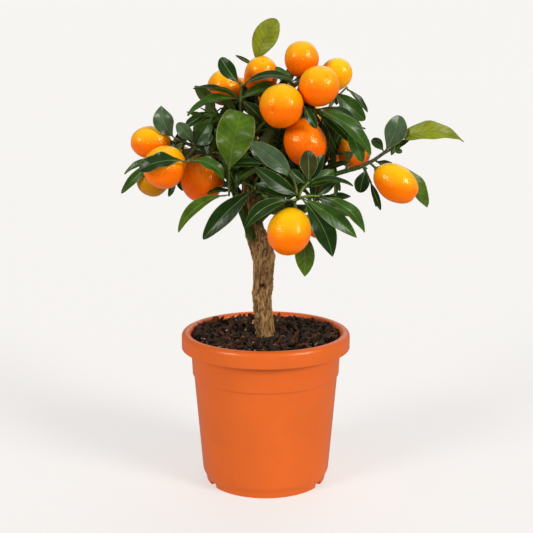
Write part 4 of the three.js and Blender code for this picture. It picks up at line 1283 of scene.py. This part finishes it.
def dress_pot():
    """The pot as a turned shell, with notches in its foot ring and drain holes in its floor."""
    p = POT
    profile = pot_profile()
    half_notch = math.degrees(math.asin(p["notch_width"] / 2 / p["foot_radius"]))
    angles = set(np.arange(p["segments"]) * 360 / p["segments"])
    for centre in p["notch_angles"]:
        for edge in (centre - half_notch, centre + half_notch):
            angles |= {(edge - p["notch_side"]) % 360, (edge + p["notch_side"]) % 360}
    columns = []
    for angle in sorted(angles):
        column = profile.copy()
        if min(abs((angle - centre + 180) % 360 - 180) for centre in p["notch_angles"]) < half_notch:
            foot_ring = column[:, 0] > p["foot_radius"] - p["foot_wall"] - 1
            foot_ring &= column[:, 1] < p["notch_height"]
            column[foot_ring, 1] = p["notch_height"]
            column[foot_ring & (column[:, 0] > p["foot_radius"] - 1), 0] = p["foot_radius"] + p["notch_deep"]
        turn = (angle - 90) * RAD
        out, up = column.T
        columns.append(np.stack([out * math.cos(turn), out * math.sin(turn), up], axis=-1))
    rings = np.stack(columns, axis=1)
    heap = Heap(["pot_plastic"])
    heap.add(rings.reshape(-1, 3), grid_faces(*rings.shape[:2]), "pot_plastic")
    pot = heap.piece("pot_shell", "pot", "pot")
    tools = []
    for centre in p["notch_angles"]:
        turn = (centre - 90) * RAD
        bpy.ops.mesh.primitive_cylinder_add(
            vertices=p["drain_sides"], radius=p["drain_radius"] * MM, depth=3 * p["floor_top"] * MM,
            location=(
                p["drain_place"] * math.cos(turn) * MM, p["drain_place"] * math.sin(turn) * MM,
                p["drain_height"] * MM,
            ),
        )
        tools.append(bpy.context.object)
        cut = pot.modifiers.new("drain", "BOOLEAN")
        cut.object = tools[-1]
        cut.solver = "EXACT"
    depsgraph = bpy.context.evaluated_depsgraph_get()
    mesh = bpy.data.meshes.new_from_object(pot.evaluated_get(depsgraph))
    pot.modifiers.clear()
    pot.data = mesh
    for tool in tools:
        bpy.data.objects.remove(tool, do_unlink=True)
    crease_by_angle(mesh, POT["crease"])


def crease_by_angle(mesh, degrees):
    shape = bmesh.new()
    shape.from_mesh(mesh)
    bmesh.ops.dissolve_degenerate(shape, edges=shape.edges, dist=1e-6)
    for edge in shape.edges:
        edge.smooth = len(edge.link_faces) == 2 and edge.calc_face_angle(0) < degrees * RAD
    for face in shape.faces:
        face.smooth = True
    shape.to_mesh(mesh)
    shape.free()


SOIL = dict(
    edge=60.9, foot=100, rise=3.6, sunk=0.5, lumps=3.2, lump_size=0.09, fine_lump_size=0.3, rings=44,
    segments=140, crease=40,
)
# Splinters of bark: their lengths and how seldom they are long, how broad and thick they are for their
# length, how high they lie, how far they tip and roll, how uneven they are, and the dark and red shares.
CHIP = dict(
    count=2300, length=(2, 11), seldom=3.2, broad=(0.35, 0.75), thick=(0.16, 0.36), lift=(0.6, 2.2), tip=2.2,
    roll=1.6, jolt=0.55, dark=0.72, dark_or_red=0.87, longest_tan=6,
)
FIBRE = dict(count=36, length=(8, 20), spread=50, radii=(0.35, 0.2), bend=0.8, lift=1.4, sides=5, steps=12)


def mound(x, y):
    """The height of the potting mix at a place."""
    share = math.hypot(x, y) / SOIL["edge"]
    wide, fine = SOIL["lump_size"], SOIL["fine_lump_size"]
    lump = noise.noise(Vector((x * wide, y * wide, 5))) + 0.5 * noise.noise(Vector((x * fine, y * fine, 9)))
    return SOIL_TOP - SOIL["sunk"] + SOIL["rise"] * share**2 + SOIL["lumps"] * lump * (1 - 0.5 * share**6)


# An icosahedron, which each splinter of bark starts from.
GOLDEN_RATIO = (1 + 5**0.5) / 2
CORNERS = np.array([
    corner
    for a in (-1, 1)
    for b in (-GOLDEN_RATIO, GOLDEN_RATIO)
    for corner in ((0, a, b), (a, b, 0), (b, 0, a))
])
CORNER_REACH = 1.9


def corner_faces():
    near = np.linalg.norm(CORNERS[:, None] - CORNERS[None], axis=-1) < 2.1
    faces = []
    for i, j, k in combinations(range(len(CORNERS)), 3):
        if near[i, j] and near[j, k] and near[i, k]:
            out = np.cross(CORNERS[j] - CORNERS[i], CORNERS[k] - CORNERS[i])
            faces.append((i, j, k) if np.dot(out, CORNERS[i]) > 0 else (i, k, j))
    return np.array(faces)


def add_chip(heap, faces, random):
    """Adds a splinter: its corners are pushed about, flattened and laid on the mix."""
    low, high = CHIP["length"]
    long = low + (high - low) * random() ** CHIP["seldom"]
    size = np.array([long, long * between(CHIP["broad"], random), long * between(CHIP["thick"], random)]) / 2
    radius = (SOIL["edge"] + 0.6 - long / 2) * math.sqrt(random())
    turn = random() * ROUND
    x, y = radius * math.cos(turn), radius * math.sin(turn)
    pose = Matrix.Rotation(random() * 6.3, 3, "Z") @ Matrix.Rotation((random() - 0.5) * CHIP["tip"], 3, "Y")
    pose = np.array(pose @ Matrix.Rotation((random() - 0.5) * CHIP["roll"], 3, "X"))
    middle = np.array([x, y, mound(x, y) + size[2] * between(CHIP["lift"], random)])
    draw = random()
    if draw < CHIP["dark"]:
        name = "chip_dark"
    else:
        name = "chip_red" if draw < CHIP["dark_or_red"] or long > CHIP["longest_tan"] else "chip_tan"
    jolt = np.array([[random() for _ in range(3)] for _ in CORNERS]) - 0.5
    points = (CORNERS / CORNER_REACH + jolt * CHIP["jolt"]) * size
    heap.add(points @ pose.T + middle, faces, name)


def add_fibre(heap, random):
    """Adds a curved fibre that lies on the mix, unless it would run over the edge."""
    radius, turn, way = FIBRE["spread"] * math.sqrt(random()), random() * 6.3, random() * 6.3
    long = between(FIBRE["length"], random)
    spots = []
    for share in (0, 0.35, 0.7, 1):
        x = radius * math.cos(turn) + long * share * math.cos(way + share * FIBRE["bend"])
        y = radius * math.sin(turn) + long * share * math.sin(way + share * FIBRE["bend"])
        spots.append((x, y, mound(x, y) + FIBRE["lift"]))
    if max(math.hypot(x, y) for x, y, _ in spots) < SOIL["edge"] - 1:
        points, faces, _ = tube(Line(spots), FIBRE["radii"], FIBRE["sides"], FIBRE["steps"])
        heap.add(points, faces, "chip_tan" if random() < 0.5 else "chip_red")


def dress_soil():
    """The potting mix: a lumpy mound, strewn with splinters of bark and a few fibres."""
    random = seeded(417)
    heap = Heap(MIX_COLOURS)
    radii = SOIL["edge"] * np.sin(np.linspace(0.02, 1, SOIL["rings"]) * math.pi / 2)
    outward = [(math.cos(turn), math.sin(turn)) for turn in round_turns(SOIL["segments"])]
    rings = [[(r * x, r * y, mound(r * x, r * y)) for x, y in outward] for r in radii]
    foot = SOIL["edge"] - 2
    rings.append([(foot * x, foot * y, SOIL["foot"]) for x, y in outward])
    points = np.vstack([*rings, (0, 0, mound(0, 0)), (0, 0, SOIL["foot"])])
    heap.add(points, ring_faces(len(rings), SOIL["segments"], flip=True), "soil_dark")
    faces = corner_faces()
    for _ in range(CHIP["count"]):
        add_chip(heap, faces, random)
    for _ in range(FIBRE["count"]):
        add_fibre(heap, random)
    crease_by_angle(heap.piece("potting_mix", "soil", "soil").data, SOIL["crease"])


# Each light: degrees to the right of the viewer, height in degrees, strength, width in degrees, colour.
LIGHTS = dict(
    key=(52, 24, 2.2, 22, (1, 0.98, 0.95)),
    fill=(-50, 22, 1.55, 22, (1, 0.99, 0.98)),
    top=(5, 62, 0.6, 110, (1, 1, 1)),
    back=(170, 40, 0.6, 60, (1, 1, 1)),
)
# The backdrop's colour, and the room's brightness from the viewer's side (0) to the backdrop's side (1).
HORIZON = (0.935, 0.915, 0.885)
SKY = [(0.0, (0.1, 0.1, 0.1)), (0.5, (0.16, 0.16, 0.16)), (0.75, tinted(HORIZON, 0.27))]
FLOOR_REACH = 60


def make_stage():
    """A pale floor that runs to the horizon, a pale backdrop, and soft lights on all sides and above."""
    mesh = bpy.data.meshes.new("studio_floor")
    corners = [(FLOOR_REACH * x, FLOOR_REACH * y, 0) for x, y in ((-1, -1), (1, -1), (1, 1), (-1, 1))]
    mesh.from_pydata(corners, [], [(0, 1, 2, 3)])
    mesh.materials.append(LOOKS["floor"])
    floor = placed("studio_floor", mesh)
    floor.visible_glossy = False
    for name, (clock, height, strength, wide, colour) in LIGHTS.items():
        lamp = bpy.data.lights.new(name, "SUN")
        lamp.energy = strength
        lamp.angle = wide * RAD
        lamp.color = colour
        flat = math.cos(height * RAD)
        way = Vector((math.sin(clock * RAD) * flat, -math.cos(clock * RAD) * flat, math.sin(height * RAD)))
        placed(name, lamp).rotation_euler = way.to_track_quat("Z", "Y").to_euler()
    world = bpy.data.worlds.new("studio")
    bpy.context.scene.world = world
    world.use_nodes = True
    tree = world.node_tree
    direction = axes(tree, (node(tree, "ShaderNodeTexCoord"), "Generated"))
    room = ramp(tree, maths(tree, "MULTIPLY_ADD", (direction, "Y"), 0.5, 0.5), SKY)
    direct = (node(tree, "ShaderNodeLightPath"), "Is Camera Ray")
    shown, result = mixed(tree, direct, room, (*HORIZON, 1))
    tree.links.new(shown.outputs[result], tree.nodes["Background"].inputs["Color"])
    bpy.context.scene.view_settings.view_transform = "Standard"


def make_camera():
    lens = bpy.data.cameras.new("front")
    lens.sensor_width = SENSOR
    lens.lens = VIEW["focal"] / PICTURE * SENSOR
    lens.clip_start = 0.01
    lens.clip_end = 200
    camera = placed("front", lens)
    offset = (PICTURE / 2 - VIEW["centre_x"]) / VIEW["focal"] * VIEW["distance"]
    camera.location = (offset * MM, -VIEW["distance"] * MM, VIEW["height"] * MM)
    camera.rotation_euler = (math.pi / 2 - VIEW["tilt"], 0, 0)
    bpy.context.scene.camera = camera


make_looks()
make_camera()
make_stage()
dress_pot()
dress_soil()

LIMBS = {name: {**limb, "line": Line(limb["path"])} for name, limb in {"trunk": TRUNK, **BOUGHS}.items()}
LIMB_SHARES = np.linspace(0, 1, 40)
LIMB_SPOTS = np.vstack([
    np.column_stack([limb["line"].at(LIMB_SHARES), tapered(limb["radii"], LIMB_SHARES)])
    for limb in LIMBS.values()
])
dress_limbs()

masses = [*FRONT_MASSES, *map(grown_mass, BACK_MASSES)]
FRUITS = [fruit for mass in masses for fruit in mass["fruit"]]
for fruit in FRUITS:
    fruit["stalk_way"] = heading(*fruit["stalk"])
leaf_looks = ["leaf_" + name for name in LEAF_COLOURS]
WOOD = Heap(TWIG_COLOURS)
SHOWN = Heap(leaf_looks)
HIDDEN = Heap(leaf_looks)
balls = Heap([*("fruit_" + name for name in FRUIT_COLOURS), "fruit_scar"])
for mass in masses:
    grow_wood(mass)
for mass in masses:
    grow_leaves(mass)
for name, limb in LIMBS.items():
    limb_shoots(name, limb)
for fruit in FRUITS:
    ball(balls, fruit)
    cup(WOOD, fruit)
names = [mass["name"] for mass in masses]
SHOWN.piece("leaves_shown", "foliage", *names)
HIDDEN.piece("leaves_hidden", "foliage", *names)
WOOD.piece("twigs", "foliage", *names)
balls.piece("fruit", "foliage", *names)
